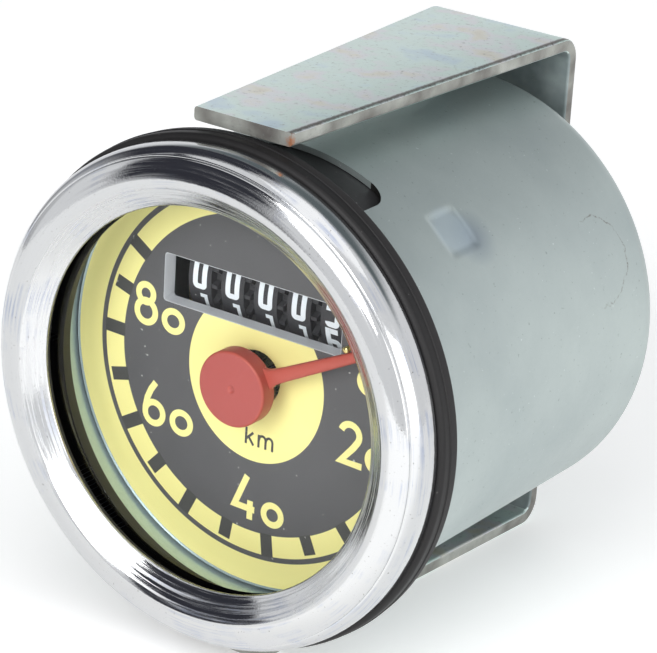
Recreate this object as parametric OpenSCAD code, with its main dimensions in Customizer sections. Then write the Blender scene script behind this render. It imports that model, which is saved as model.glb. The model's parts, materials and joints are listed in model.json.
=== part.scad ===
// Round panel instrument: a mechanical speedometer with a distance counter.
// X points to the dial's right, Y points to the rear, Z points up.
// The origin is the centre of the case's rear outer face, where the cable neck starts.

/* [Case] */
// Outside diameter of the case, which goes through the panel
case_d = 60; // [58:0.5:64]
// Sheet thickness of the case
case_wall = 0.8; // [0.6:0.1:1.2]
// Radius of the case's rear corner
case_corner_r = 3.5; // [2:0.5:4]
// Width of the flange at the case's mouth
flange_w = 2.3; // [1.8:0.1:3]
// Angle that the light slot covers, centred on the top
light_slot_angle = 62; // [50:1:70]
// Length of the light slot along the case
light_slot_len = 10.4; // [8:0.2:12]
// Corner radius of the light slot
light_slot_r = 3; // [1:0.5:3.5]
// Number of pressed dimples round the case
dimple_count = 3; // [2:1:4]
// Angle from the top to the first dimple
dimple_angle = 42.7; // [38:0.5:50]
// Distance from the panel plane to the dimples' centre
dimple_depth = 16.3; // [15:0.5:20]
// Length and width of a dimple
dimple_size = 6; // [4:0.5:7]

/* [Bezel, glass and seals] */
// Sheet thickness of the bezel
bezel_sheet = 0.7; // [0.5:0.1:0.9]
// Height of the bezel from its rear edge to its crest
bezel_h = 5; // [4.6:0.1:6]
// Straight part of the bezel's side
bezel_skirt = 1.6; // [1.6:0.1:2]
// Distance from the bezel's side to its crest
bezel_round = 4; // [3:0.1:5]
// Radius of the bezel's inner slope
bezel_slope_r = 4; // [3.8:0.1:5]
// Thickness of the glass
glass_t = 2; // [1.5:0.1:2.5]
// Thickness of the gasket between the glass and the case
gasket_side = 1.2; // [0.9:0.1:1.5]
// Width of glass that the gasket's lip covers
glass_lap = 2.1; // [1.5:0.1:2.2]
// Thickness of the gasket's lip in front of the glass
gasket_lip = 1; // [0.8:0.1:1.2]
// Length of the gasket behind the glass
gasket_tail = 3.9; // [3:0.1:4.2]
// Thickness of the outer rubber ring
ring_t = 3.6; // [3:0.1:4.5]
// Width that the rubber ring stands out past the bezel
ring_lip = 0.7; // [0.4:0.1:1]

/* [Dial] */
// Distance from the panel plane back to the dial's face
dial_depth = 4.7; // [4.4:0.1:5.5]
// Thickness of the dial sheet
dial_t = 0.5; // [0.4:0.1:0.7]
// Gap between the dial's rim and the case
dial_gap = 2; // [1.5:0.1:2.4]
// Radius of the dial's rolled rim
dial_rim_r = 1.2; // [0.9:0.1:1.5]
// Diameter of the hole for the pointer's spindle
dial_hole_d = 6.8; // [5:0.2:7.6]
// Distance from the left wheel's centre to the window's left end
window_left_side = 3.9; // [3.4:0.1:4.2]
// Distance from the right wheel's centre to the window's right end
window_right_side = 3.2; // [2.9:0.1:3.6]
// Bottom of the counter's window
window_bottom = 6.5; // [6:0.1:7]
// Height of the counter's window
window_h = 6.3; // [5.5:0.1:6.5]
// Thickness of the window frame's walls
frame_wall = 0.5; // [0.4:0.1:0.6]
// Depth of the window frame behind the dial's face
frame_depth = 2.1; // [1.8:0.1:2.2]
// Diameter of the pointer's stop pin
stop_pin_d = 0.9; // [0.7:0.1:1]
// Distance from the pointer's tip in to the stop pin
stop_pin_inset = 2.9; // [2:0.1:3.5]

/* [Pointer] */
// Angle of the resting pointer above three o'clock
pointer_angle = 27.2; // [26:0.2:29]
// Length of the pointer from the spindle
pointer_len = 21.5; // [20:0.1:22.5]
// Width of the pointer at its hub
pointer_root_w = 2; // [1.6:0.1:2.4]
// Width of the pointer at its tip
pointer_tip_w = 1.3; // [1:0.1:1.5]
// Thickness of the pointer's arm
pointer_t = 0.8; // [0.6:0.1:1]
// Diameter of the pointer's hub
hub_d = 10.1; // [9:0.1:11]
// Thickness of the pointer's hub
hub_t = 2.5; // [2.2:0.1:2.8]
// Distance from the dial's face forward to the hub's face
hub_front = 5.5; // [5.2:0.1:5.8]
// Diameter of the spindle
spindle_d = 1.2; // [1:0.1:1.4]

/* [Counter] */
// Distance between the centres of two wheels
wheel_pitch = 5.2; // [5.1:0.05:5.3]
// Centre of the left wheel
wheel_left = -11.4; // [-11.5:0.05:-11.3]
// Diameter of a number wheel
wheel_d = 15; // [14.4:0.1:15]
// Width of the band that carries the digits
wheel_band_w = 3.6; // [3.4:0.1:3.7]
// Height of the counter's axle above the spindle
counter_z = 9.65; // [9.4:0.05:9.9]
// Diameter of the counter's axle and the pinions' shaft
axle_d = 2; // [1.6:0.1:2.2]
// Direction from the axle to the pinions' shaft, above the rear
pinion_angle = 50; // [46:1:56]

/* [Movement] */
// Gap between the counter's pinions and the front plate
pinion_plate_gap = 0.95; // [0.8:0.05:1.6]
// Thickness of the two plates
plate_t = 1.2; // [1:0.1:1.4]
// Gap between the two plates' rims and the case
plate_rim_gap = 2.7; // [2:0.1:3.2]
// Length of the speed cup
cup_len = 7.5; // [7.2:0.1:9]
// Gap between the speed cup and the rear plate
cup_rear_gap = 1.5; // [1.3:0.1:2.5]
// Diameter of the speed cup
cup_d = 25; // [23:0.5:25.5]
// Wall of the speed cup
cup_wall = 0.5; // [0.4:0.1:0.7]
// Gap round the magnet inside the speed cup
magnet_gap = 0.8; // [0.5:0.1:1.2]
// Gap round the speed cup inside the steel keeper
keeper_gap = 0.8; // [0.5:0.1:1]
// Wall of the steel keeper
keeper_wall = 1.2; // [0.8:0.1:1.3]
// Diameter of the drive shaft
drive_shaft_d = 3.2; // [2.8:0.1:3.4]
// Diameter of the cross shaft and the layshaft
gear_shaft_d = 2; // [1.6:0.1:2.2]
// Gap between the rear plate and the cross shaft's wheel
wheel_plate_gap = 0.4; // [0.3:0.1:1]
// Distance from the cross shaft back to the base casting
base_gap = 7.2; // [6.6:0.1:12]
// Gap between the counter's right cheek and the layshaft's worm
layshaft_gap = 1.1; // [0.6:0.1:1.5]
// Module of the worms and worm wheels
worm_module = 0.5; // [0.48:0.01:0.52]
// Radius of the drive worm's pitch circle
drive_worm_r = 2.75; // [2.6:0.05:2.9]
// Radius of the cross worm's pitch circle
cross_worm_r = 2.5; // [2.4:0.05:2.6]
// Teeth of the cross shaft's wheel
cross_teeth = 20; // [20:1:21]
// Teeth of the layshaft's wheel
lay_teeth = 28; // [27:1:28]
// Teeth of the counter's wheel
counter_teeth = 22; // [21:1:22]
// Thickness of the base casting on the case's rear wall
base_t = 2.5; // [2:0.1:3]
// Gap between the base casting's rim and the case
base_rim_gap = 5.2; // [4:0.1:6]

/* [Cable neck and clamp] */
// Diameter of the neck that takes the cable's nut
neck_d = 12; // [11:0.5:13]
// Width of the collar that centres the neck in the case's rear wall
neck_collar = 1; // [0.6:0.1:1.6]
// Length of the neck behind the case
neck_len = 14; // [13:0.5:16]
// Diameter of the bore for the cable's ferrule
ferrule_d = 7.2; // [6.8:0.1:7.6]
// Depth of the bore for the cable's ferrule
ferrule_depth = 4.4; // [4:0.1:5]
// Side of the square socket for the cable's core
drive_square = 2.7; // [2.4:0.1:2.9]
// Diameter of the clamp studs
stud_d = 5; // [4:0.5:5]
// Distance from the base casting's rim in to each stud
stud_inset = 7; // [6.5:0.5:8]
// Thread pitch of the studs and nuts
stud_pitch = 0.8; // [0.7:0.1:0.8]
// Space for the nuts' travel on the studs
stud_spare = 7; // [6.5:0.5:9]
// Sheet thickness of the bracket
bracket_t = 1.8; // [1.5:0.1:2]
// Outside radius of the bracket's two bends
bracket_bend_r = 3.4; // [2.8:0.1:4]
// Width of the bracket at its tips
bracket_tip_w = 14.8; // [12:0.2:17]
// Width of the bracket's rear web
bracket_w = 21.6; // [20.6:0.2:24]
// Gap between the bracket's legs and the rubber ring
leg_gap = 0.25; // [0.2:0.05:0.6]
// Distance that the leg tips reach in front of the panel plane
leg_reach = 1; // [0:0.1:1.5]
// Gap between the case and the bracket's web
web_gap = 3.4; // [3.2:0.1:5]
// Diameter of the web's hole round the neck
web_hole_d = 18; // [17:0.2:18.4]
// Distance across the flats of the nuts
nut_af = 8; // [7:0.5:8]
// Thickness of a nut
nut_t = 4; // [3.2:0.1:4.5]
// Thickness of a spring washer
washer_t = 1.2; // [1:0.1:1.4]

/* [Hidden] */
$fn = 96;
eps = 0.01;

// Clearances: a running fit for shafts, a free gap for parts that pass each other
running = 0.06;
stud_fit = 0.05;
free_gap = 0.3;
through_gap = 0.4;

// Radii that follow from the case
case_r = case_d / 2;
case_in_r = case_r - case_wall;
flange_r = case_r + flange_w;
bezel_r = flange_r + bezel_sheet;
crest_r = bezel_r - bezel_round;
ring_r = bezel_r + ring_lip;
glass_r = case_in_r - gasket_side;
lip_r = glass_r - glass_lap;
opening_r = lip_r - 0.5;
dial_r = case_in_r - dial_gap;
dimple_press = case_wall / 2;
axle_r = axle_d / 2;
gear_shaft_r = gear_shaft_d / 2;
drive_shaft_r = drive_shaft_d / 2;
spindle_r = spindle_d / 2;
wheel_r = wheel_d / 2;
plate_r = case_in_r - plate_rim_gap;
base_r = case_in_r - base_rim_gap;
stud_offset = base_r - stud_inset;
stop_pin_radius = pointer_len - stop_pin_inset;

// Carry gears of the counter
carry_module = 0.7;
carry_teeth = 20;
pinion_teeth = 8;
carry_r = carry_module * carry_teeth / 2;
pinion_r = carry_module * pinion_teeth / 2;
carry_add = carry_module / 2;
carry_ded = carry_module;
carry_distance = carry_r + pinion_r;

// Worms and wheels
worm_p = PI * worm_module;
worm_add = 0.8 * worm_module;
worm_ded = 1.3 * worm_module;
wheel_ded = 1.2 * worm_module;
worm_turns = 2.5;
worm_len = worm_turns * worm_p;
cross_wheel_r = cross_teeth * worm_module / 2;
lay_wheel_r = lay_teeth * worm_module / 2;
counter_wheel_r = counter_teeth * worm_module / 2;

// Depths of the pieces behind the dial's face, which add up to the case's depth
bush_tail = 0.6;
cup_hub_len = 0.8;
counter_depth = frame_depth + free_gap + wheel_r;
pinion_reach = carry_distance * cos(pinion_angle) + pinion_r + carry_add;
front_plate_depth = counter_depth + pinion_reach + pinion_plate_gap;
plates_gap = bush_tail + through_gap + cup_hub_len + cup_len + cup_rear_gap;
cross_shaft_depth = cross_wheel_r + worm_add + wheel_plate_gap;
movement_depth = front_plate_depth + 2 * plate_t + plates_gap + cross_shaft_depth + base_gap;
case_depth = dial_depth + movement_depth + base_t + case_wall;

// Planes along Y, from the front to the rear
seat_y = -case_depth;
bezel_y = seat_y - ring_t;
flange_back_y = bezel_y - bezel_sheet;
flange_front_y = flange_back_y - case_wall;
collar_t = 0.9;
glass_front_y = flange_front_y - collar_t + gasket_lip;
glass_back_y = glass_front_y + glass_t;
gasket_back_y = glass_back_y + gasket_tail;
dial_y = seat_y + dial_depth;
dial_back_y = dial_y + dial_t;
counter_y = dial_y + counter_depth;
front_plate_y = dial_y + front_plate_depth;
front_plate_back_y = front_plate_y + plate_t;
rear_plate_y = front_plate_back_y + plates_gap;
rear_plate_back_y = rear_plate_y + plate_t;
cross_y = rear_plate_back_y + cross_shaft_depth;
base_y = -case_wall - base_t;

// Pointer and speed cup
hub_y = dial_y - hub_front;
hub_back_y = hub_y + hub_t;
arm_y = hub_back_y - 1.1;
boss_r = 2;
boss_len = 1.5;
collet_len = 1.4;
collet_r = 1.5;
spring_gap = 1.1;
spring_w = 0.7;
spring_r = 6;
spring_turns = 4;
spring_t = 0.22;
spring_y = front_plate_y - spring_gap - spring_w;
bush_flange_t = 0.5;
bush_r = 2.2;
cup_hub_y = front_plate_back_y + bush_tail + through_gap;
cup_y = cup_hub_y + cup_hub_len;
cup_r = cup_d / 2;
magnet_y = cup_y + cup_wall + 0.9;
magnet_len = 5.6;
magnet_r = cup_r - cup_wall - magnet_gap;
spindle_tip = 3;
pivot_spare = 0.5;
keeper_in_r = cup_r + keeper_gap;

// Shaft places
wheel_count = 5;
cheek_t = 0.8;
wheel_right = wheel_left + (wheel_count - 1) * wheel_pitch;
cheek_right_x = wheel_right + wheel_band_w / 2 + 1.1;
window_left = wheel_left - window_left_side;
window_right = wheel_right + window_right_side;
cross_z = -(drive_worm_r + cross_wheel_r);
layshaft_z = cross_z + cross_worm_r + lay_wheel_r;
lay_worm_r = counter_z - layshaft_z - counter_wheel_r;
layshaft_x = cheek_right_x + cheek_t + layshaft_gap + lay_worm_r + worm_add;
worm_wheel_t = 2;

// Cross shaft, its bearings and the layshaft
cross_left = -7;
cross_bearing_t = 2;
last_bearing = layshaft_x + worm_len / 2 + 2.6;
cross_bearings = [-5, 8, last_bearing];
cross_right = last_bearing + cross_bearing_t / 2 + 0.4;
bearing_reach = 2.5;
lay_front_y = counter_y - worm_len / 2 - 4.2;
lay_tab_y = counter_y - worm_len / 2 - 3.6;
lay_boss_y = cross_y + worm_wheel_t / 2 + 1.5;
lay_boss_r = 3;
lay_end_y = lay_boss_y + 3;

// Counter
carry_gear_w = 0.9;
carry_disc_w = 0.4;
pinion_w = 1;
pinion_gap = 0.3;
carry_disc_r = carry_r - carry_add - free_gap;
pinion_y = counter_y + carry_distance * cos(pinion_angle);
pinion_z = counter_z + carry_distance * sin(pinion_angle);
cheek_left_x = wheel_left - wheel_band_w / 2 - 0.6 - cheek_t;
counter_gear_x = layshaft_x - worm_wheel_t / 2;
counter_hub_r = 2.2;
axle_left = cheek_left_x - 0.6;
axle_right = counter_gear_x + worm_wheel_t + 0.8;
foot_len = 5;
foot_z = 7;
foot_h = 6;
cheek_screw_r = 0.8;
cheek_screw_z = foot_z + foot_h / 2;

// Positions of the pillars and posts, as [radius, angle]
pillar_places = [for (a = [120, 210, 300]) [plate_r - 5.5, a]];
pillar_r = 1.8;
spigot_r = 1.2;
post_places = [for (a = [50, 150, 230]) [plate_r - 6.5, a]];
post_r = 2.2;
plate_screw_r = 1.25;
screw_head_h = 1.2;
dial_post_r = 1.5;
dial_post_places = [for (a = [90, 200, 340]) [dial_r - dial_rim_r - 0.5 - dial_post_r, a]];

// Neck, studs and bracket
neck_r = neck_d / 2;
collar_r = neck_r + neck_collar;
ferrule_r = ferrule_d / 2;
neck_bore_r = ferrule_r - 0.4;
drive_bush_r = neck_bore_r;
drive_bush_front = base_y - 1.6;
drive_bush_back = 2.5;
drive_boss_r = 5;
tail_r = neck_bore_r - 0.8;
tail_y = drive_bush_back + 0.6;
tail_end = neck_len - ferrule_depth - 0.1;
socket_depth = 5;
stud_r = stud_d / 2;
leg_in_z = ring_r + leg_gap;
leg_out_z = leg_in_z + bracket_t;
leg_tip_y = seat_y - leg_reach;
web_in_y = web_gap;
web_out_y = web_gap + bracket_t;
nut_y = web_out_y + washer_t;
stud_end = nut_y + nut_t + stud_spare;
stud_head_t = 3.3;

// Turned body about the Y axis, from points [radius, y]
module turned(points) {
    rotate([-90, 0, 0])
        rotate_extrude()
            polygon(points);
}

// Round bar along Y from y0 to y1, at x and z
module bar_y(r, y0, y1, x = 0, z = 0) {
    translate([x, y0, z])
        rotate([-90, 0, 0])
            cylinder(h = y1 - y0, r = r);
}

// Round bar along X from x0 to x1, at y and z
module bar_x(r, x0, x1, y, z) {
    translate([x0, y, z])
        rotate([0, 90, 0])
            cylinder(h = x1 - x0, r = r);
}

// Plate across Y, from an outline drawn as the dial is seen
module plate_y(y0, t) {
    translate([0, y0 + t, 0])
        rotate([90, 0, 0])
            linear_extrude(t)
                children();
}

// Plate across X, from an outline drawn in Y and Z
module plate_x(x0, t) {
    translate([x0, 0, 0])
        rotate([90, 0, 90])
            linear_extrude(t)
                children();
}

module box(x, y, z) {
    translate([x[0], y[0], z[0]])
        cube([x[1] - x[0], y[1] - y[0], z[1] - z[0]]);
}

// Child moved to a place given as [radius, angle from three o'clock]
module at_place(place) {
    translate([place[0] * cos(place[1]), 0, place[0] * sin(place[1])])
        children();
}

// Hexagon across the flats, as an outline
module hexagon(af) {
    circle(d = af / cos(30), $fn = 6);
}

// Points of an arc in the plane of radius and y
function arc(cr, cy, rr, ry, a0, a1, n) =
    [for (i = [0:n]) let (a = a0 + (a1 - a0) * i / n) [cr + rr * cos(a), cy + ry * sin(a)]];

// Outline of a gear with straight-sided teeth; the first tooth points along X
function gear_points(teeth, root_r, tip_r, root_w, tip_w) =
    [for (i = [0:teeth - 1])
        let (a = 360 * i / teeth, b = asin(root_w / 2 / root_r), c = asin(tip_w / 2 / tip_r))
            for (p = [[root_r, a - b], [tip_r, a - c], [tip_r, a + c], [root_r, a + b]])
                [p[0] * cos(p[1]), p[0] * sin(p[1])]];

// Gear outline with a gap between two teeth at the given angle
module gear_outline(teeth, root_r, tip_r, root_w, tip_w, gap_angle, bore_r) {
    difference() {
        rotate(gap_angle - 180 / teeth)
            polygon(gear_points(teeth, root_r, tip_r, root_w, tip_w));
        circle(r = bore_r);
    }
}

module worm_wheel_outline(teeth, pitch_r, gap_angle, bore_r) {
    gear_outline(teeth, pitch_r - wheel_ded, pitch_r + worm_add, 0.5 * worm_p, 0.22 * worm_p, gap_angle, bore_r);
}

// Radius of a worm's cross-section at an angle from the middle of its thread
function worm_section_r(a, root_r, tip_r) =
    let (base = 80, crest = 34, b = abs(a))
        b <= crest ? tip_r : b >= base ? root_r : tip_r + (root_r - tip_r) * (b - crest) / (base - crest);

// Worm with one right-hand thread along Z, whose middle turn faces the given angle
module worm(pitch_r, bore_r, face_angle) {
    root_r = pitch_r - worm_ded;
    tip_r = pitch_r + worm_add;
    sides = 16;
    step = 360 / sides;
    difference() {
        translate([0, 0, -worm_len / 2])
            rotate(face_angle - 180 * worm_turns)
                linear_extrude(worm_len, twist = -360 * worm_turns, slices = 40, segments = sides)
                    polygon([for (i = [0:sides - 1])
                        let (a = i * step, s = a > 180 ? a - 360 : a, r = worm_section_r(s, root_r, tip_r))
                            [r * cos(a), r * sin(a)]]);
        translate([0, 0, -worm_len])
            cylinder(h = 2 * worm_len, r = bore_r);
    }
}

function case_profile(r, corner, back_y) =
    concat([[0, back_y]], arc(r - corner, back_y - corner, corner, corner, 90, 0, 16));

module case() {
    color("#A9B6B4")
        difference() {
            union() {
                difference() {
                    turned(concat(case_profile(case_r, case_corner_r, 0), [
                        [case_r, flange_back_y], [flange_r, flange_back_y],
                        [flange_r, flange_front_y], [0, flange_front_y]
                    ]));
                    turned(concat(case_profile(case_in_r, case_corner_r - case_wall, -case_wall), [
                        [case_in_r, flange_front_y - 1], [0, flange_front_y - 1]
                    ]));
                }
                for (i = [0:dimple_count - 1])
                    dimple_block(i, case_in_r - dimple_press, case_in_r + dimple_press / 2);
            }
            for (i = [0:dimple_count - 1])
                dimple_block(i, case_r - dimple_press, case_r + 1);
            light_slot();
            bar_y(collar_r, -2 * case_wall, 1);
            for (s = [-1, 1])
                bar_y(stud_r + stud_fit, -2 * case_wall, 1, 0, s * stud_offset);
        }
}

// Part of a ring between two radii, as wide as a dimple
module dimple_block(i, r0, r1) {
    y0 = seat_y + dimple_depth - dimple_size / 2;
    rotate([0, dimple_angle + i * 360 / dimple_count, 0])
        intersection() {
            difference() {
                bar_y(r1, y0, y0 + dimple_size);
                bar_y(r0, y0 - 1, y0 + dimple_size + 1);
            }
            box([-dimple_size / 2, dimple_size / 2], [y0 - 1, y0 + dimple_size + 1], [0, 2 * case_r]);
        }
}

// Cutter for the light slot, with two round rear corners
module light_slot() {
    half = case_r * sin(light_slot_angle / 2);
    translate([0, 0, case_r / 2])
        linear_extrude(case_r) {
            translate([-half, seat_y])
                square([2 * half, light_slot_len - light_slot_r]);
            translate([light_slot_r - half, seat_y])
                square([2 * (half - light_slot_r), light_slot_len]);
            for (side = [-1, 1])
                translate([side * (half - light_slot_r), seat_y + light_slot_len - light_slot_r])
                    circle(r = light_slot_r);
        }
}

module bezel() {
    crest_h = bezel_h - bezel_skirt;
    curve_y = bezel_y - bezel_skirt;
    slope_y = bezel_y - bezel_h + bezel_slope_r;
    slope_sweep = 64;
    slope_w = (crest_r - opening_r) / sin(slope_sweep);
    inner_round = bezel_round - bezel_sheet;
    inner_slope = bezel_slope_r - bezel_sheet;
    color("#D8D8D6")
        turned(concat(
            [[bezel_r, bezel_y]],
            arc(crest_r, curve_y, bezel_round, -crest_h, 0, 90, 14),
            arc(crest_r, slope_y, slope_w, bezel_slope_r, 268, 270 - slope_sweep, 12),
            arc(crest_r, slope_y, slope_w - bezel_sheet, inner_slope, 270 - slope_sweep, 268, 12),
            arc(crest_r, curve_y, inner_round, bezel_sheet - crest_h, 90, 0, 14),
            [[bezel_r - bezel_sheet, bezel_y - bezel_sheet], [flange_r - 1, bezel_y - bezel_sheet],
             [flange_r - 1, bezel_y]]
        ));
}

module glass() {
    color("#CFE0E6", 0.35)
        bar_y(glass_r, glass_front_y, glass_back_y);
}

module glass_gasket() {
    color("#232323")
        turned([
            [lip_r, flange_front_y - collar_t], [flange_r - 0.8, flange_front_y - collar_t],
            [flange_r - 0.8, flange_front_y], [case_in_r, flange_front_y], [case_in_r, gasket_back_y],
            [lip_r + 0.9, gasket_back_y], [lip_r + 0.5, gasket_back_y - 0.2],
            [lip_r + 0.3, gasket_back_y - 0.6], [lip_r + 0.3, glass_back_y], [glass_r, glass_back_y],
            [glass_r, glass_front_y], [lip_r, glass_front_y]
        ]);
}

module rubber_ring() {
    edge = 0.7;
    groove = 0.35;
    groove_y = bezel_y + ring_t / 3;
    color("#252425")
        turned(concat(
            [[case_r, bezel_y]],
            arc(ring_r - edge, bezel_y + edge, edge, edge, -90, 0, 6),
            [[ring_r, groove_y - groove], [ring_r - groove, groove_y], [ring_r, groove_y + groove]],
            arc(ring_r - edge, seat_y - edge, edge, edge, 0, 90, 6),
            [[case_r, seat_y]]
        ));
}

module window_outline(grow) {
    translate([window_left - grow, window_bottom - grow])
        square([window_right - window_left + 2 * grow, window_h + 2 * grow]);
}

module dial() {
    flat_r = dial_r - dial_rim_r;
    color("#5F5F60")
        difference() {
            turned(concat(
                [[dial_hole_d / 2, dial_y]],
                arc(flat_r, dial_y + dial_rim_r, dial_rim_r, dial_rim_r, -90, 0, 8),
                arc(flat_r, dial_y + dial_rim_r, dial_rim_r - dial_t, dial_rim_r - dial_t, 0, -90, 8),
                [[dial_hole_d / 2, dial_back_y]]
            ));
            plate_y(dial_y - 1, dial_t + 2)
                window_outline(0);
            stop_pin_shank();
        }
}

module dial_posts() {
    color("#B9B9B4")
        for (place = dial_post_places)
            at_place(place)
                bar_y(dial_post_r, dial_back_y, front_plate_y);
}

module window_frame() {
    flange = 1;
    flange_t = 0.4;
    color("#B9BEC8")
        difference() {
            union() {
                plate_y(dial_y, frame_depth)
                    window_outline(0);
                plate_y(dial_back_y, flange_t)
                    window_outline(flange);
            }
            plate_y(dial_y - 1, frame_depth + 2)
                window_outline(-frame_wall);
        }
}

// Angle between the pointer's centre line and the stop pin when they touch
function stop_angle() = asin((pointer_width(stop_pin_radius) / 2 + stop_pin_d / 2 + 0.05) / stop_pin_radius);
function pointer_width(r) = pointer_root_w + (pointer_tip_w - pointer_root_w) * r / pointer_len;

module stop_pin_shank() {
    at_place([stop_pin_radius, pointer_angle + stop_angle()])
        bar_y(stop_pin_d / 2, arm_y - 0.6, dial_back_y);
}

module stop_pin() {
    color("#D9C88A") {
        stop_pin_shank();
        at_place([stop_pin_radius, pointer_angle + stop_angle()])
            translate([0, arm_y - 0.6, 0])
                sphere(d = stop_pin_d + 0.02);
    }
}

module pointer() {
    edge = 0.3;
    dimple_r = 0.55;
    color("#D2605A")
        difference() {
            union() {
                turned(concat(
                    [[0, hub_y]],
                    arc(hub_d / 2 - edge, hub_y + edge, edge, edge, -90, 0, 5),
                    [[hub_d / 2, hub_back_y], [boss_r, hub_back_y], [boss_r, hub_back_y + boss_len],
                     [0, hub_back_y + boss_len]]
                ));
                rotate([0, -pointer_angle, 0])
                    plate_y(arm_y, pointer_t)
                        polygon([
                            [0, -pointer_root_w / 2], [pointer_len - 1, -pointer_tip_w / 2],
                            [pointer_len, -pointer_tip_w / 6], [pointer_len, pointer_tip_w / 6],
                            [pointer_len - 1, pointer_tip_w / 2], [0, pointer_root_w / 2]
                        ]);
            }
            bar_y(dimple_r, hub_y - 1, hub_y + 0.3);
            bar_y(spindle_r, hub_y + 0.8, hub_back_y + boss_len + 1);
        }
}

module pointer_spindle() {
    color("#C9CCD0")
        bar_y(spindle_r, hub_y + 0.8, magnet_y + spindle_tip);
}

// Point of the flat spiral, whose radius grows evenly with the angle
function spiral_point(a, side) =
    let (r = collet_r - 0.1 + (spring_r - collet_r) * a / (360 * spring_turns) + side * spring_t / 2)
        [r * cos(a), r * sin(a)];

module hairspring() {
    step = 15;
    last = 360 * spring_turns;
    color("#C8A15A")
        plate_y(spring_y, spring_w)
            difference() {
                polygon(concat(
                    [for (a = [0:step:last]) spiral_point(a, 1)],
                    [for (a = [last:-step:0]) spiral_point(a, -1)]
                ));
                circle(r = collet_r);
            }
}

module spring_collet() {
    color("#C9A24E")
        difference() {
            bar_y(collet_r, spring_y - 0.3, spring_y - 0.3 + collet_len);
            bar_y(spindle_r, spring_y - 1, spring_y + collet_len + 1);
        }
}

module spring_anchor() {
    color("#C9A24E")
        bar_y(0.5, spring_y - 0.2, front_plate_y, spring_r + 0.55, 0);
}

module speed_cup() {
    color("#C4C8CB")
        difference() {
            union() {
                turned([
                    [0, cup_y], [cup_r, cup_y], [cup_r, cup_y + cup_len], [cup_r - cup_wall, cup_y + cup_len],
                    [cup_r - cup_wall, cup_y + cup_wall], [0, cup_y + cup_wall]
                ]);
                bar_y(boss_r, cup_hub_y, cup_y + eps);
            }
            bar_y(spindle_r, cup_hub_y - 1, cup_y + 2);
        }
}

module spindle_bush() {
    color("#B08A3E")
        difference() {
            union() {
                bar_y(bush_r + 0.6, front_plate_y - bush_flange_t, front_plate_y);
                bar_y(bush_r, front_plate_y - bush_flange_t, front_plate_back_y + bush_tail);
            }
            bar_y(spindle_r + running, front_plate_y - 2, front_plate_back_y + 2);
        }
}

module front_plate() {
    color("#B7A66E")
        difference() {
            bar_y(plate_r, front_plate_y, front_plate_back_y);
            bar_y(bush_r, front_plate_y - 1, front_plate_back_y + 1);
            for (place = pillar_places)
                at_place(place)
                    bar_y(spigot_r, front_plate_y - 1, front_plate_back_y + 1);
            bar_y(gear_shaft_r + through_gap, front_plate_y - 1, front_plate_back_y + 1, layshaft_x, layshaft_z);
            for (x = cheek_screw_xs())
                bar_y(cheek_screw_r, front_plate_y - 1, front_plate_back_y + 1, x, cheek_screw_z);
        }
}

module rear_plate() {
    color("#B7A66E")
        difference() {
            bar_y(plate_r, rear_plate_y, rear_plate_back_y);
            bar_y(drive_shaft_r + 1.4, rear_plate_y - 1, rear_plate_back_y + 1);
            for (place = pillar_places)
                at_place(place)
                    bar_y(spigot_r, rear_plate_y - 1, rear_plate_back_y + 1);
            for (place = post_places)
                at_place(place)
                    bar_y(plate_screw_r, rear_plate_y - 1, rear_plate_back_y + 1);
            bar_y(gear_shaft_r + through_gap, rear_plate_y - 1, rear_plate_back_y + 1, layshaft_x, layshaft_z);
        }
}

module plate_pillars() {
    color("#C2B27A")
        for (place = pillar_places)
            at_place(place) {
                bar_y(pillar_r, front_plate_back_y, rear_plate_y);
                bar_y(spigot_r, front_plate_y - 0.3, rear_plate_back_y + 0.3);
            }
}

module keeper_ring() {
    color("#9A9FA3")
        difference() {
            bar_y(keeper_in_r + keeper_wall, cup_y, rear_plate_y);
            bar_y(keeper_in_r, cup_y - 1, rear_plate_y + 1);
        }
}

module magnet() {
    color("#55585C")
        difference() {
            bar_y(magnet_r, magnet_y, magnet_y + magnet_len);
            bar_y(drive_shaft_r, magnet_y - 1, magnet_y + magnet_len + 1);
        }
}

module drive_shaft() {
    color("#C0C4C8")
        difference() {
            union() {
                bar_y(drive_shaft_r, magnet_y, tail_y + eps);
                bar_y(tail_r, tail_y, tail_end);
            }
            bar_y(spindle_r + running, magnet_y - 1, magnet_y + spindle_tip + pivot_spare);
            box([-drive_square / 2, drive_square / 2], [tail_end - socket_depth, tail_end + 1],
                [-drive_square / 2, drive_square / 2]);
        }
}

module drive_worm() {
    color("#A8ABAE")
        translate([0, cross_y, 0])
            rotate([-90, 0, 0])
                worm(drive_worm_r, drive_shaft_r, 90);
}

module front_drive_bush() {
    color("#B08A3E")
        difference() {
            bar_y(drive_shaft_r + 1.4, rear_plate_y - 0.8, rear_plate_back_y + 0.6);
            bar_y(drive_shaft_r + running, rear_plate_y - 2, rear_plate_back_y + 2);
        }
}

module rear_drive_bush() {
    color("#B08A3E")
        difference() {
            bar_y(drive_bush_r, drive_bush_front, drive_bush_back);
            bar_y(drive_shaft_r + running, drive_bush_front - 1, drive_bush_back + 1);
        }
}

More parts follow.
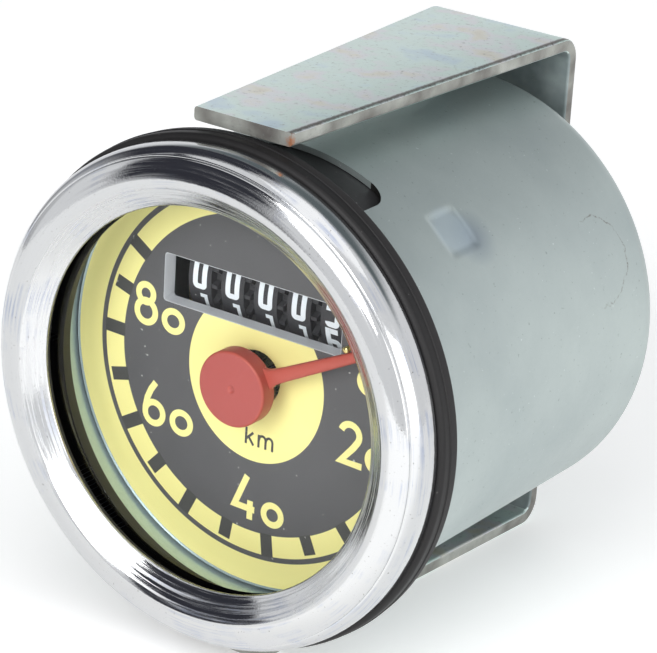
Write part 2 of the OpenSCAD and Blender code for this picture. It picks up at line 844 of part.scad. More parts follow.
// Die-cast base with the neck, the bearing arms and the layshaft's boss
module base_casting() {
    color("#A5A8AA")
        difference() {
            union() {
                bar_y(base_r, base_y, -case_wall);
                bar_y(drive_boss_r, drive_bush_front, base_y + eps);
                bar_y(collar_r, base_y + eps, 0);
                bar_y(neck_r, 0, neck_len);
                for (x = cross_bearings)
                    box([x - cross_bearing_t / 2, x + cross_bearing_t / 2], [cross_y - bearing_reach, base_y + eps],
                        [cross_z - bearing_reach, cross_z + bearing_reach]);
                box([0, last_bearing + cross_bearing_t / 2], [base_y, -case_wall],
                    [cross_z - bearing_reach, cross_z + bearing_reach]);
                bar_y(lay_boss_r, lay_boss_y, base_y + eps, layshaft_x, layshaft_z);
            }
            bar_y(drive_bush_r, drive_bush_front - 1, neck_len + 1);
            bar_y(ferrule_r, neck_len - ferrule_depth, neck_len + 1);
            bar_x(gear_shaft_r + running, cross_left - 1, cross_right + 1, cross_y, cross_z);
            bar_y(gear_shaft_r + running, lay_boss_y - 1, lay_end_y + 0.3, layshaft_x, layshaft_z);
            for (s = [-1, 1])
                bar_y(stud_r, base_y - 1, 0, 0, s * stud_offset);
        }
}

module rear_plate_posts() {
    color("#C2B27A")
        for (place = post_places)
            at_place(place)
                difference() {
                    bar_y(post_r, rear_plate_back_y, base_y);
                    bar_y(plate_screw_r, rear_plate_back_y - 1, rear_plate_back_y + 4);
                }
}

module plate_screws() {
    color("#BFC2C4")
        for (place = post_places)
            at_place(place)
                difference() {
                    union() {
                        bar_y(post_r, rear_plate_y - screw_head_h, rear_plate_y);
                        bar_y(plate_screw_r, rear_plate_y - eps, rear_plate_back_y + 4);
                    }
                    box([-post_r, post_r], [rear_plate_y - screw_head_h - 1, rear_plate_y - screw_head_h + 0.5],
                        [-0.3, 0.3]);
                }
}

module cross_shaft() {
    color("#C0C4C8")
        bar_x(gear_shaft_r, cross_left, cross_right, cross_y, cross_z);
}

module cross_wheel() {
    color("#C9A24E")
        translate([0, cross_y, cross_z])
            plate_x(-worm_wheel_t / 2, worm_wheel_t)
                worm_wheel_outline(cross_teeth, cross_wheel_r, 90, gear_shaft_r);
}

module cross_worm() {
    color("#A8ABAE")
        translate([layshaft_x, cross_y, cross_z])
            rotate([0, 90, 0])
                worm(cross_worm_r, gear_shaft_r, 180);
}

module layshaft() {
    color("#C0C4C8")
        bar_y(gear_shaft_r, lay_front_y, lay_end_y, layshaft_x, layshaft_z);
}

module lay_wheel() {
    color("#C9A24E")
        translate([layshaft_x, cross_y, layshaft_z])
            plate_y(-worm_wheel_t / 2, worm_wheel_t)
                worm_wheel_outline(lay_teeth, lay_wheel_r, -90, gear_shaft_r);
}

module lay_worm() {
    color("#A8ABAE")
        translate([layshaft_x, counter_y, layshaft_z])
            rotate([-90, 0, 0])
                worm(lay_worm_r, gear_shaft_r, 270);
}

function cheek_screw_xs() =
    [cheek_left_x - foot_len / 2, cheek_right_x + cheek_t + foot_len / 2];

// Cheek outline in Y and Z, from the front plate to the axle and the pinions' shaft
module cheek_outline() {
    ear_r = 3.2;
    pinion_ear_r = 2.4;
    difference() {
        union() {
            translate([counter_y, counter_z])
                circle(r = ear_r);
            translate([pinion_y, pinion_z])
                circle(r = pinion_ear_r);
            translate([counter_y, counter_z - ear_r])
                square([front_plate_y - counter_y, 2 * ear_r]);
            translate([pinion_y - pinion_ear_r, counter_z])
                square([front_plate_y - pinion_y + pinion_ear_r, pinion_z - counter_z]);
        }
        translate([pinion_y, pinion_z])
            circle(r = axle_r);
    }
}

module cheek_foot(x0) {
    difference() {
        box([x0, x0 + foot_len], [front_plate_y - cheek_t, front_plate_y], [foot_z, foot_z + foot_h]);
        bar_y(cheek_screw_r, front_plate_y - 2, front_plate_y + 1, x0 + foot_len / 2, cheek_screw_z);
    }
}

module counter_cheek_left() {
    color("#B7A66E") {
        plate_x(cheek_left_x, cheek_t)
            difference() {
                cheek_outline();
                translate([counter_y, counter_z])
                    circle(r = axle_r);
            }
        cheek_foot(cheek_left_x - foot_len);
    }
}

// The right cheek lets the counter gear's hub through and carries the layshaft's front end
module counter_cheek_right() {
    tab_right = layshaft_x + gear_shaft_r + 1.3;
    color("#B7A66E") {
        plate_x(cheek_right_x, cheek_t)
            difference() {
                union() {
                    cheek_outline();
                    translate([lay_tab_y, layshaft_z - 2.1])
                        square([counter_y - lay_tab_y, counter_z - layshaft_z + 2.1]);
                }
                translate([counter_y, counter_z])
                    circle(r = counter_hub_r + through_gap);
            }
        cheek_foot(cheek_right_x + cheek_t);
        difference() {
            box([cheek_right_x, tab_right], [lay_tab_y, lay_tab_y + cheek_t], [layshaft_z - 2.1, layshaft_z + 2.1]);
            bar_y(gear_shaft_r + running, lay_tab_y - 1, lay_tab_y + 2, layshaft_x, layshaft_z);
        }
    }
}

module cheek_screws() {
    color("#BFC2C4")
        for (x = cheek_screw_xs()) {
            bar_y(2 * cheek_screw_r, front_plate_y - cheek_t - 0.8, front_plate_y - cheek_t, x, cheek_screw_z);
            bar_y(cheek_screw_r, front_plate_y - cheek_t - eps, front_plate_back_y, x, cheek_screw_z);
        }
}

module counter_axle() {
    color("#C0C4C8")
        bar_x(axle_r, axle_left, axle_right, counter_y, counter_z);
}

module counter_gear() {
    color("#E8E6DE")
        translate([0, counter_y, counter_z]) {
            plate_x(counter_gear_x, worm_wheel_t)
                worm_wheel_outline(counter_teeth, counter_wheel_r, -90, axle_r + running);
            plate_x(wheel_right + wheel_band_w / 2, counter_gear_x - wheel_right - wheel_band_w / 2)
                difference() {
                    circle(r = counter_hub_r);
                    circle(r = axle_r + running);
                }
        }
}

// Number wheel i: the digit band, a carry gear on its right and a carry disc on its left
module number_wheel(i) {
    x = wheel_left + (i - 1) * wheel_pitch;
    band_x = x - wheel_band_w / 2;
    color("#2E2F33")
        translate([0, counter_y, counter_z]) {
            plate_x(band_x, wheel_band_w)
                difference() {
                    circle(r = wheel_r);
                    circle(r = axle_r + running);
                }
            if (i < wheel_count)
                plate_x(band_x + wheel_band_w, carry_gear_w)
                    gear_outline(carry_teeth, carry_r - carry_ded, carry_r + carry_add,
                        1.7 * carry_module, 0.7 * carry_module, pinion_angle, axle_r + running);
            if (i > 1)
                plate_x(band_x - carry_disc_w, carry_disc_w)
                    difference() {
                        circle(r = carry_disc_r);
                        circle(r = axle_r + running);
                    }
        }
}

module pinion_shaft() {
    color("#C0C4C8")
        bar_x(axle_r, axle_left + 0.6, cheek_right_x + cheek_t, pinion_y, pinion_z);
}

// Carry pinion i, between number wheels i and i + 1, with a tooth towards the counter's axle
module carry_pinion(i) {
    x = wheel_left + (i - 1) * wheel_pitch + wheel_band_w / 2 + pinion_gap;
    tooth = 180 / pinion_teeth;
    color("#E8E6DE")
        translate([0, pinion_y, pinion_z])
            plate_x(x, pinion_w)
                gear_outline(pinion_teeth, pinion_r - carry_ded, pinion_r + carry_add,
                    1.5 * carry_module, 0.7 * carry_module, pinion_angle + 180 + tooth, axle_r + running);
}

// Bracket: two legs and a rear web from one strip, narrower at the tips
module bracket() {
    inner_bend = bracket_bend_r - bracket_t;
    web_edge_y = web_out_y - bracket_bend_r;
    color("#BFC9C8")
        difference() {
            intersection() {
                plate_x(-bracket_w / 2, bracket_w)
                    difference() {
                        bent_outline(leg_out_z, web_out_y, bracket_bend_r);
                        bent_outline(leg_in_z, web_in_y, inner_bend);
                    }
                translate([0, 0, -leg_out_z - 1])
                    linear_extrude(2 * leg_out_z + 2)
                        polygon([
                            [-bracket_tip_w / 2, leg_tip_y], [bracket_tip_w / 2, leg_tip_y],
                            [bracket_w / 2, web_edge_y], [bracket_w / 2, web_out_y + 1],
                            [-bracket_w / 2, web_out_y + 1], [-bracket_w / 2, web_edge_y]
                        ]);
            }
            bar_y(web_hole_d / 2, web_in_y - 1, web_out_y + 1);
            for (s = [-1, 1])
                bar_y(stud_r + free_gap, web_in_y - 1, web_out_y + 1, 0, s * stud_offset);
        }
}

// Outline in Y and Z of a block with two round rear corners, open past the leg tips
module bent_outline(half_z, back_y, r) {
    front = leg_tip_y - 1;
    translate([front, -half_z])
        square([back_y - r - front, 2 * half_z]);
    translate([front, r - half_z])
        square([back_y - front, 2 * (half_z - r)]);
    for (s = [-1, 1])
        translate([back_y - r, s * (half_z - r)])
            circle(r = r);
}

module clamp_studs() {
    color("#C3CBCB")
        for (s = [-1, 1])
            translate([0, 0, s * stud_offset]) {
                plate_y(base_y - stud_head_t, stud_head_t)
                    hexagon(nut_af);
                bar_y(stud_r, base_y - eps, stud_end);
            }
}

module spring_washers() {
    color("#9FA6A8")
        for (s = [-1, 1])
            translate([0, 0, s * stud_offset])
                difference() {
                    bar_y(stud_r + 2, web_out_y, web_out_y + washer_t);
                    bar_y(stud_r + free_gap, web_out_y - 1, web_out_y + washer_t + 1);
                    box([0, stud_r + 3], [web_out_y - 1, web_out_y + washer_t + 1], [-0.25, 0.25]);
                }
}

module clamp_nut(s) {
    color("#C3CBCB")
        translate([0, 0, s * stud_offset])
            plate_y(nut_y, nut_t)
                difference() {
                    hexagon(nut_af);
                    circle(r = stud_r + stud_fit);
                }
}

case();
bezel();
glass();
glass_gasket();
rubber_ring();
dial();
dial_posts();
window_frame();
stop_pin();
pointer();
pointer_spindle();
hairspring();
spring_collet();
spring_anchor();
speed_cup();
spindle_bush();
front_plate();
rear_plate();
plate_pillars();
keeper_ring();
magnet();
drive_shaft();
drive_worm();
front_drive_bush();
rear_drive_bush();
base_casting();
rear_plate_posts();
plate_screws();
cross_shaft();
cross_wheel();
cross_worm();
layshaft();
lay_wheel();
lay_worm();
counter_cheek_left();
counter_cheek_right();
cheek_screws();
counter_axle();
counter_gear();
number_wheel(1);  // number_wheel_1
number_wheel(2);  // number_wheel_2
number_wheel(3);  // number_wheel_3
number_wheel(4);  // number_wheel_4
number_wheel(5);  // number_wheel_5
pinion_shaft();
carry_pinion(1);  // carry_pinion_1
carry_pinion(2);  // carry_pinion_2
carry_pinion(3);  // carry_pinion_3
carry_pinion(4);  // carry_pinion_4
bracket();
clamp_studs();
spring_washers();
clamp_nut(1);  // nut_upper
clamp_nut(-1);  // nut_lower
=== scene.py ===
import json
import math

import bmesh
import bpy
import numpy as np
from mathutils import Matrix, Vector


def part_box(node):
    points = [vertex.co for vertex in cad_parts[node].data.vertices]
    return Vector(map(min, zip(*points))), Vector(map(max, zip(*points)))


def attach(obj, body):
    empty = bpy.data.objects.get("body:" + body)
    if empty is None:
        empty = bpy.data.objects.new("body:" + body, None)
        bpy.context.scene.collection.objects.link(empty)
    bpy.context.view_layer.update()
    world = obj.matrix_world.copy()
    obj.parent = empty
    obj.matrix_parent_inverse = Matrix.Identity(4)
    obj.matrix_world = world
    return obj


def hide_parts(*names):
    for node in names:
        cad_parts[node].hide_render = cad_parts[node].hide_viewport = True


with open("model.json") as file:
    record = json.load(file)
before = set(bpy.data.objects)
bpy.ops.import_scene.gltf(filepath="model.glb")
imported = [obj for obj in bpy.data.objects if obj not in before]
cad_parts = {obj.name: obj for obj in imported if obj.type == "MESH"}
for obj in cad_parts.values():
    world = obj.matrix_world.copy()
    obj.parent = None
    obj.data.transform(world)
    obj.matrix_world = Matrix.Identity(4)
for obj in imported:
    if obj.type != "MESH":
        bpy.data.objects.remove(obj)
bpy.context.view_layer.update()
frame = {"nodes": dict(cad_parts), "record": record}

mm = 0.001
scene = bpy.context.scene
print("frame loaded:", len(frame["nodes"]), "nodes")


def placed(name, data):
    thing = bpy.data.objects.new(name, data)
    scene.collection.objects.link(thing)
    return thing


# the camera stands where the photograph was taken from
camera = {
    "place": (0.21574, -0.35353, 0.15916),
    "right": (0.8139, 0.5782, 0.0573),
    "up": (-0.2620, 0.2772, 0.9244),
    "back": (0.5186, -0.7674, 0.3771),
    "lens": 175.34,
    "sensor": 36,
    "clip": (0.01, 20),
}
cameraData = bpy.data.cameras.new("photoCamera")
cameraData.lens = camera["lens"]
cameraData.sensor_width = camera["sensor"]
cameraData.sensor_fit = "HORIZONTAL"
cameraData.clip_start, cameraData.clip_end = camera["clip"]
cameraObject = placed("photoCamera", cameraData)
turn = Matrix((camera["right"], camera["up"], camera["back"])).transposed()
cameraObject.matrix_world = Matrix.Translation(camera["place"]) @ turn.to_4x4()
scene.camera = cameraObject
scene.view_settings.view_transform = "Standard"
scene.view_settings.look = "None"


def linearColour(code):
    parts = [int(code[i:i + 2], 16) / 255 for i in (1, 3, 5)]
    return tuple(p / 12.92 if p <= 0.04045 else ((p + 0.055) / 1.055) ** 2.4 for p in parts) + (1.0,)


def fill(node, inputs):
    # each value is a plain one, a colour code, a socket, or a node, whose first live output is linked
    for key, value in inputs.items():
        if isinstance(value, bpy.types.Node):
            value = next(output for output in value.outputs if output.enabled)
        if isinstance(value, bpy.types.NodeSocket):
            node.id_data.links.new(value, node.inputs[key])
        else:
            node.inputs[key].default_value = linearColour(value) if isinstance(value, str) else value


def addNode(tree, kind, inputs=None, **settings):
    node = tree.nodes.new(kind)
    for key, value in settings.items():
        setattr(node, key, value)
    fill(node, inputs or {})
    return node


def newMaterial(name, metallic=0.0, roughness=0.5):
    material = bpy.data.materials.new(name)
    material.use_nodes = True
    tree = material.node_tree
    tree.nodes.clear()
    shader = addNode(tree, "ShaderNodeBsdfPrincipled", {"Metallic": metallic, "Roughness": roughness})
    addNode(tree, "ShaderNodeOutputMaterial", {"Surface": shader})
    spot = addNode(tree, "ShaderNodeTexCoord").outputs["Object"]
    return material, tree, shader, spot


def setRamp(node, stops):
    elements = node.color_ramp.elements
    while len(elements) < len(stops):
        elements.new(0.5)
    for element, (where, code) in zip(elements, stops):
        element.position = where
        element.color = linearColour(code)


# white tent, shaded high up at the back; two dark gaps on its left, in front and above, show in the chrome
studio = {
    "sky": "#F7F8FA",
    "skyStrength": 1.0,
    "dark": "#3A3B43",
    "frontGapLeft": (40.0, -49.0, None, 2.5),
    "frontGapRight": (-22.0, None, -25.0, 2.5),
    "frontGapHeight": (-0.60, 0.70, 0.03),
    "topGap": (-0.20, 0.40, 0.07),
    "topGapSide": (-0.97, -0.12, 0.10),
    "shade": "#6B7477",
    "backShade": (0.35, None, 0.15),
    "backShadeHeight": (0.50, None, 0.14),
    "paper": "#F9F9F8",
    "paperX": (-0.30, 0.40),
    "paperY": (-0.22, 0.50),
    "paperZ": -0.03576,
    "litRight": (-0.009, None, 0.008),
    "litFront": (None, -0.08, 0.02),
    "evenly": 0.25,
    "lit": 0.35,
    "softboxes": {"key": ((0.08, -1.10, 0.48), 0.6, 7.5), "top": ((0.20, -0.20, 1.05), 0.9, 1.2),
                  "side": ((0.95, -0.45, 0.12), 0.7, 3.2)},
}

world = bpy.data.worlds.new("studioWorld")
world.use_nodes = True
scene.world = world
tree = world.node_tree
tree.nodes.clear()
way = addNode(tree, "ShaderNodeTexCoord").outputs["Generated"]
ways = addNode(tree, "ShaderNodeSeparateXYZ", {0: way})
ahead = addNode(tree, "ShaderNodeMath", {0: ways.outputs["Y"], 1: -1.0}, operation="MULTIPLY")
bearing = addNode(tree, "ShaderNodeMath", {0: ways.outputs["X"], 1: ahead}, operation="ARCTAN2")
degrees = addNode(tree, "ShaderNodeMath", {0: bearing}, operation="DEGREES")


def gapMask(limits):
    # one where every value lies between its limits, with soft edges
    mask = None
    for value, (low, high, soft) in limits:
        for edge, start, stop in ((low, 0.0, 1.0), (high, 1.0, 0.0)):
            if edge is None:
                continue
            ease = addNode(tree, "ShaderNodeMapRange", {"Value": value, "From Min": edge - soft,
                                                        "From Max": edge + soft, "To Min": start,
                                                        "To Max": stop}, interpolation_type="SMOOTHSTEP")
            mask = addNode(tree, "ShaderNodeMath", {0: mask, 1: ease}, operation="MULTIPLY") if mask else ease
    return mask


frontLimits = [(ways.outputs["Z"], studio["frontGapHeight"])]
for lean, low, high, soft in (studio["frontGapLeft"], studio["frontGapRight"]):
    leant = addNode(tree, "ShaderNodeMath", {0: ways.outputs["Z"], 1: lean, 2: degrees},
                    operation="MULTIPLY_ADD")
    frontLimits.append((leant, (low, high, soft)))
frontGap = gapMask(frontLimits)
topGap = gapMask([(ways.outputs["Y"], studio["topGap"]), (ways.outputs["X"], studio["topGapSide"])])
gaps = addNode(tree, "ShaderNodeMath", {0: frontGap, 1: topGap}, operation="MAXIMUM")
backShade = gapMask([(ways.outputs["Y"], studio["backShade"]), (ways.outputs["Z"], studio["backShadeHeight"])])
cloth = addNode(tree, "ShaderNodeMix", {0: backShade, 6: studio["sky"],
                                        7: studio["shade"]}, data_type="RGBA")
tone = addNode(tree, "ShaderNodeMix", {0: gaps, 6: cloth,
                                       7: studio["dark"]}, data_type="RGBA")
glow = addNode(tree, "ShaderNodeBackground", {"Color": tone, "Strength": studio["skyStrength"]})
addNode(tree, "ShaderNodeOutputWorld", {"Surface": glow})

for name, (stand, size, power) in studio["softboxes"].items():
    lamp = bpy.data.lights.new(name + "Softbox", "AREA")
    lamp.shape = "SQUARE"
    lamp.size = size
    lamp.energy = power
    lampObject = placed(name + "Softbox", lamp)
    lampObject.location = stand
    lampObject.rotation_euler = (-Vector(stand)).to_track_quat("-Z", "Y").to_euler()

(x0, x1), (y0, y1), z = studio["paperX"], studio["paperY"], studio["paperZ"]
paperMesh = bpy.data.meshes.new("studioPaper")
paperMesh.from_pydata([(x0, y0, z), (x1, y0, z), (x1, y1, z), (x0, y1, z)], [], [(0, 1, 2, 3)])
paper, tree, shader, spot = newMaterial("studioPaper", roughness=0.9)
shader.inputs["Base Color"].default_value = linearColour(studio["paper"])
shader.inputs["Specular IOR Level"].default_value = 0.1
parts = addNode(tree, "ShaderNodeSeparateXYZ", {0: spot})
# the paper glows: an even glow keeps it white, and a painted pool of light makes it brighter in front on the
# right, as the bezel's inner band shows
litMask = gapMask([(parts.outputs["X"], studio["litRight"]), (parts.outputs["Y"], studio["litFront"])])
glowWithPaintedPool = addNode(tree, "ShaderNodeMath", {0: litMask, 1: studio["lit"], 2: studio["evenly"]},
                operation="MULTIPLY_ADD")
shader.inputs["Emission Color"].default_value = (1.0, 1.0, 1.0, 1.0)
fill(shader, {"Emission Strength": glowWithPaintedPool})
paperMesh.materials.append(paper)
placed("studioPaper", paperMesh)
print("camera and studio ready")


# turned, cast and drawn stock: a fine grain dulls the metal a little
def metalMaterial(name, colour, roughness, grain, depth, metallic=1.0):
    material, tree, shader, spot = newMaterial(name, metallic=metallic)
    speckle = addNode(tree, "ShaderNodeTexNoise", {"Vector": spot, "Scale": 1 / (grain * mm), "Detail": 4.0,
                                                   "Roughness": 0.6})
    base = np.array(linearColour(colour))
    darker, lighter = (tuple(np.minimum(base * k, 1))[:3] + (1.0,) for k in (0.88, 1.12))
    tone = addNode(tree, "ShaderNodeMix", {0: speckle, 6: darker, 7: lighter}, data_type="RGBA")
    gloss = addNode(tree, "ShaderNodeMapRange", {"Value": speckle, "To Min": roughness * 0.8,
                                                 "To Max": roughness * 1.2})
    bump = addNode(tree, "ShaderNodeBump", {"Height": speckle, "Distance": depth * mm, "Strength": 1.0})
    fill(shader, {"Base Color": tone, "Roughness": gloss, "Normal": bump})
    return material


# nickel-chrome plate on rolled brass: mirror gloss, polishing lines, bluish clouds, dull flecks and dents
chrome = {"dent": 9.0, "dentDepth": 0.012, "lineLength": 14.0, "lineWidth": 0.35, "lineDepth": 0.003,
          "coneDepth": 0.008, "fleck": 0.3, "fleckDepth": 0.004, "cloud": 6.0, "radius": 29.0,
          "cone": (28.6, 27.8)}
chromePlate, tree, shader, spot = newMaterial("chromePlatedBrass", metallic=1.0)
parts = addNode(tree, "ShaderNodeSeparateXYZ", {0: spot})
swing = addNode(tree, "ShaderNodeMath", {0: parts.outputs["Z"], 1: parts.outputs["X"]}, operation="ARCTAN2")
arc = addNode(tree, "ShaderNodeMath", {0: swing, 1: chrome["radius"] / chrome["lineLength"]},
              operation="MULTIPLY")
acrossRing = addNode(tree, "ShaderNodeVectorMath", {0: spot, 1: (1.0, 0.0, 1.0)}, operation="MULTIPLY")
reach = addNode(tree, "ShaderNodeVectorMath", {0: acrossRing}, operation="LENGTH")
fineReach = addNode(tree, "ShaderNodeMath", {0: reach, 1: 1 / (chrome["lineWidth"] * mm)}, operation="MULTIPLY")
fineDepth = addNode(tree, "ShaderNodeMath", {0: parts.outputs["Y"], 1: 1 / (chrome["lineWidth"] * mm)},
                    operation="MULTIPLY")
along = addNode(tree, "ShaderNodeCombineXYZ", {"X": arc, "Y": fineReach, "Z": fineDepth})
lines = addNode(tree, "ShaderNodeTexNoise", {"Vector": along, "Scale": 1.0, "Detail": 3.0, "Roughness": 0.6})
dents = addNode(tree, "ShaderNodeTexNoise", {"Vector": spot, "Scale": 1 / (chrome["dent"] * mm), "Detail": 1.0})
flecks = addNode(tree, "ShaderNodeTexNoise", {"Vector": spot, "Scale": 1 / (chrome["fleck"] * mm),
                                              "Detail": 2.0})
bumpDents = addNode(tree, "ShaderNodeBump", {"Height": dents, "Distance": chrome["dentDepth"] * mm,
                                             "Strength": 1.0})
coneOuter, coneInner = (r * mm for r in chrome["cone"])
onCone = addNode(tree, "ShaderNodeMapRange", {"Value": reach, "From Min": coneOuter, "From Max": coneInner,
                                              "To Min": chrome["lineDepth"] * mm,
                                              "To Max": chrome["coneDepth"] * mm})
bumpLines = addNode(tree, "ShaderNodeBump", {"Height": lines, "Distance": onCone,
                                             "Strength": 1.0, "Normal": bumpDents})
bumpFlecks = addNode(tree, "ShaderNodeBump", {"Height": flecks, "Distance": chrome["fleckDepth"] * mm,
                                              "Strength": 1.0, "Normal": bumpLines})
onSlope = addNode(tree, "ShaderNodeMapRange", {"Value": reach, "From Min": coneOuter, "From Max": coneInner,
                                               "To Min": 0.22, "To Max": 0.5})
haze = addNode(tree, "ShaderNodeMapRange", {"Value": lines, "From Min": 0.40, "From Max": 0.68,
                                            "To Min": 0.05, "To Max": onSlope})
clouds = addNode(tree, "ShaderNodeTexNoise", {"Vector": spot, "Scale": 1 / (chrome["cloud"] * mm),
                                              "Detail": 3.0})
inCloud = addNode(tree, "ShaderNodeMapRange", {"Value": clouds, "From Min": 0.5, "From Max": 0.66})
streak = addNode(tree, "ShaderNodeMapRange", {"Value": lines, "From Min": 0.46, "From Max": 0.62})
streaky = addNode(tree, "ShaderNodeMath", {0: inCloud, 1: streak}, operation="MULTIPLY")
blued = addNode(tree, "ShaderNodeMix", {0: streaky, 6: "#CFD0D1", 7: "#AFB5C4"},
                data_type="RGBA")
fleck = addNode(tree, "ShaderNodeMapRange", {"Value": flecks, "From Min": 0.69, "From Max": 0.74,
                                             "To Max": 0.7})
flecked = addNode(tree, "ShaderNodeMix", {0: fleck, 6: blued, 7: "#827F7C"}, data_type="RGBA")
fill(shader, {"Base Color": flecked, "Roughness": haze, "Normal": bumpFlecks})

# dull zinc plate on drawn sheet: dark and pale specks, one wandering brown stain line
zinc = {"cloud": 22.0, "speck": 0.55, "stainAt": (27.3, -12.5, 12.6), "stainR": 7.6, "stainLine": 0.16,
        "wander": 3.4, "bluishPatch": (21.6, -35.5, 20.9), "pressed": (42.7, 162.7, 282.7), "pressedR": 29.8,
        "pressedY": -38.2, "spangle": 0.625, "spangleDepth": 0.006}
zincSheet, tree, shader, spot = newMaterial("zincPlatedSheet", metallic=0.75)
cloud = addNode(tree, "ShaderNodeTexNoise", {"Vector": spot, "Scale": 1 / (zinc["cloud"] * mm), "Detail": 5.0,
                                             "Roughness": 0.55})
base = addNode(tree, "ShaderNodeValToRGB", {"Fac": cloud})
setRamp(base, [(0.3, "#A3AEAE"), (0.5, "#ADB7B6"), (0.7, "#B6C0BE")])
speck = addNode(tree, "ShaderNodeTexNoise", {"Vector": spot, "Scale": 1 / (zinc["speck"] * mm), "Detail": 2.0})
darkSpeck = addNode(tree, "ShaderNodeMapRange", {"Value": speck, "From Min": 0.69, "From Max": 0.76,
                                                 "To Max": 0.6})
specked = addNode(tree, "ShaderNodeMix", {0: darkSpeck, 6: base, 7: "#7D8786"},
                  data_type="RGBA")
paleSpeck = addNode(tree, "ShaderNodeMapRange", {"Value": speck, "From Min": 0.27, "From Max": 0.22,
                                                 "To Max": 0.5})
mottled = addNode(tree, "ShaderNodeMix", {0: paleSpeck, 6: specked, 7: "#E6EEEC"},
                  data_type="RGBA")
drift = addNode(tree, "ShaderNodeTexNoise", {"Vector": spot, "Scale": 1 / (3.0 * mm), "Detail": 5.0,
                                             "Roughness": 0.6})
fromStain = addNode(tree, "ShaderNodeVectorMath", {0: spot, 1: tuple(v * mm for v in zinc["stainAt"])},
                    operation="DISTANCE")
wandering = addNode(tree, "ShaderNodeMath", {0: drift, 1: zinc["wander"] * mm, 2: fromStain},
                    operation="MULTIPLY_ADD")
offLine = addNode(tree, "ShaderNodeMath", {0: wandering, 1: zinc["stainR"] * mm}, operation="SUBTRACT")
fromLine = addNode(tree, "ShaderNodeMath", {0: offLine}, operation="ABSOLUTE")
line = addNode(tree, "ShaderNodeMapRange", {"Value": fromLine, "From Min": 0.0,
                                            "From Max": zinc["stainLine"] * mm, "To Min": 1.0, "To Max": 0.0})
parts = addNode(tree, "ShaderNodeSeparateXYZ", {0: spot})
rearHalf = addNode(tree, "ShaderNodeMapRange", {"Value": parts.outputs["Y"], "From Min": -15.0 * mm,
                                                "From Max": -12.0 * mm})
broken = addNode(tree, "ShaderNodeMapRange", {"Value": speck, "From Min": 0.40, "From Max": 0.55, "To Min": 0.1,
                                              "To Max": 0.75})
kept = addNode(tree, "ShaderNodeMath", {0: rearHalf, 1: broken}, operation="MULTIPLY")
stain = addNode(tree, "ShaderNodeMath", {0: line, 1: kept}, operation="MULTIPLY")
stained = addNode(tree, "ShaderNodeMix", {0: stain, 6: mottled, 7: "#6F675F"}, data_type="RGBA")
# a dark bluish patch on the rear slope of the first pressed mark
toBluishPatch = addNode(tree, "ShaderNodeVectorMath", {0: spot, 1: tuple(v * mm for v in zinc["bluishPatch"])},
                   operation="DISTANCE")
inBluishPatch = addNode(tree, "ShaderNodeMapRange", {"Value": toBluishPatch, "From Min": 4.2 * mm, "From Max": 1.0 * mm,
                                                "To Max": 0.6})
bluishPatched = addNode(tree, "ShaderNodeMix", {0: inBluishPatch, 6: stained, 7: "#7E8A98"},
                  data_type="RGBA")
spangle = addNode(tree, "ShaderNodeTexNoise", {"Vector": spot, "Scale": 1 / (zinc["spangle"] * mm),
                                               "Detail": 3.0, "Roughness": 0.7})
gloss = addNode(tree, "ShaderNodeMapRange", {"Value": spangle, "To Min": 0.36, "To Max": 0.52})
bump = addNode(tree, "ShaderNodeBump", {"Height": spangle, "Distance": zinc["spangleDepth"] * mm,
                                        "Strength": 1.0})
colour = bluishPatched
for bearing in zinc["pressed"]:
    # the pressed marks are coloured brighter and bluer than the sheet round them
    a = math.radians(bearing)
    markR, markY = zinc["pressedR"], zinc["pressedY"]
    middle = tuple(v * mm for v in (markR * math.sin(a), markY, markR * math.cos(a)))
    away = addNode(tree, "ShaderNodeVectorMath", {0: spot, 1: middle}, operation="DISTANCE")
    inMark = addNode(tree, "ShaderNodeMapRange", {"Value": away, "From Min": 3.9 * mm, "From Max": 2.4 * mm,
                                                  "To Max": 0.55})
    marked = addNode(tree, "ShaderNodeMix", {0: inMark, 6: colour, 7: "#B4C3CD"}, data_type="RGBA")
    colour = marked
fill(shader, {"Base Color": colour, "Roughness": gloss, "Normal": bump})

# bare cut edge of the sheet: darkened steel, nearly matt
cutSheet, tree, shader, spot = newMaterial("darkenedSheetEdge", metallic=0.7, roughness=0.38)
mark = addNode(tree, "ShaderNodeTexNoise", {"Vector": spot, "Scale": 1 / (0.4 * mm), "Detail": 3.0})
tone = addNode(tree, "ShaderNodeMix", {0: mark, 6: "#1F1E1D", 7: "#4A4947"},
               data_type="RGBA")
fill(shader, {"Base Color": tone})


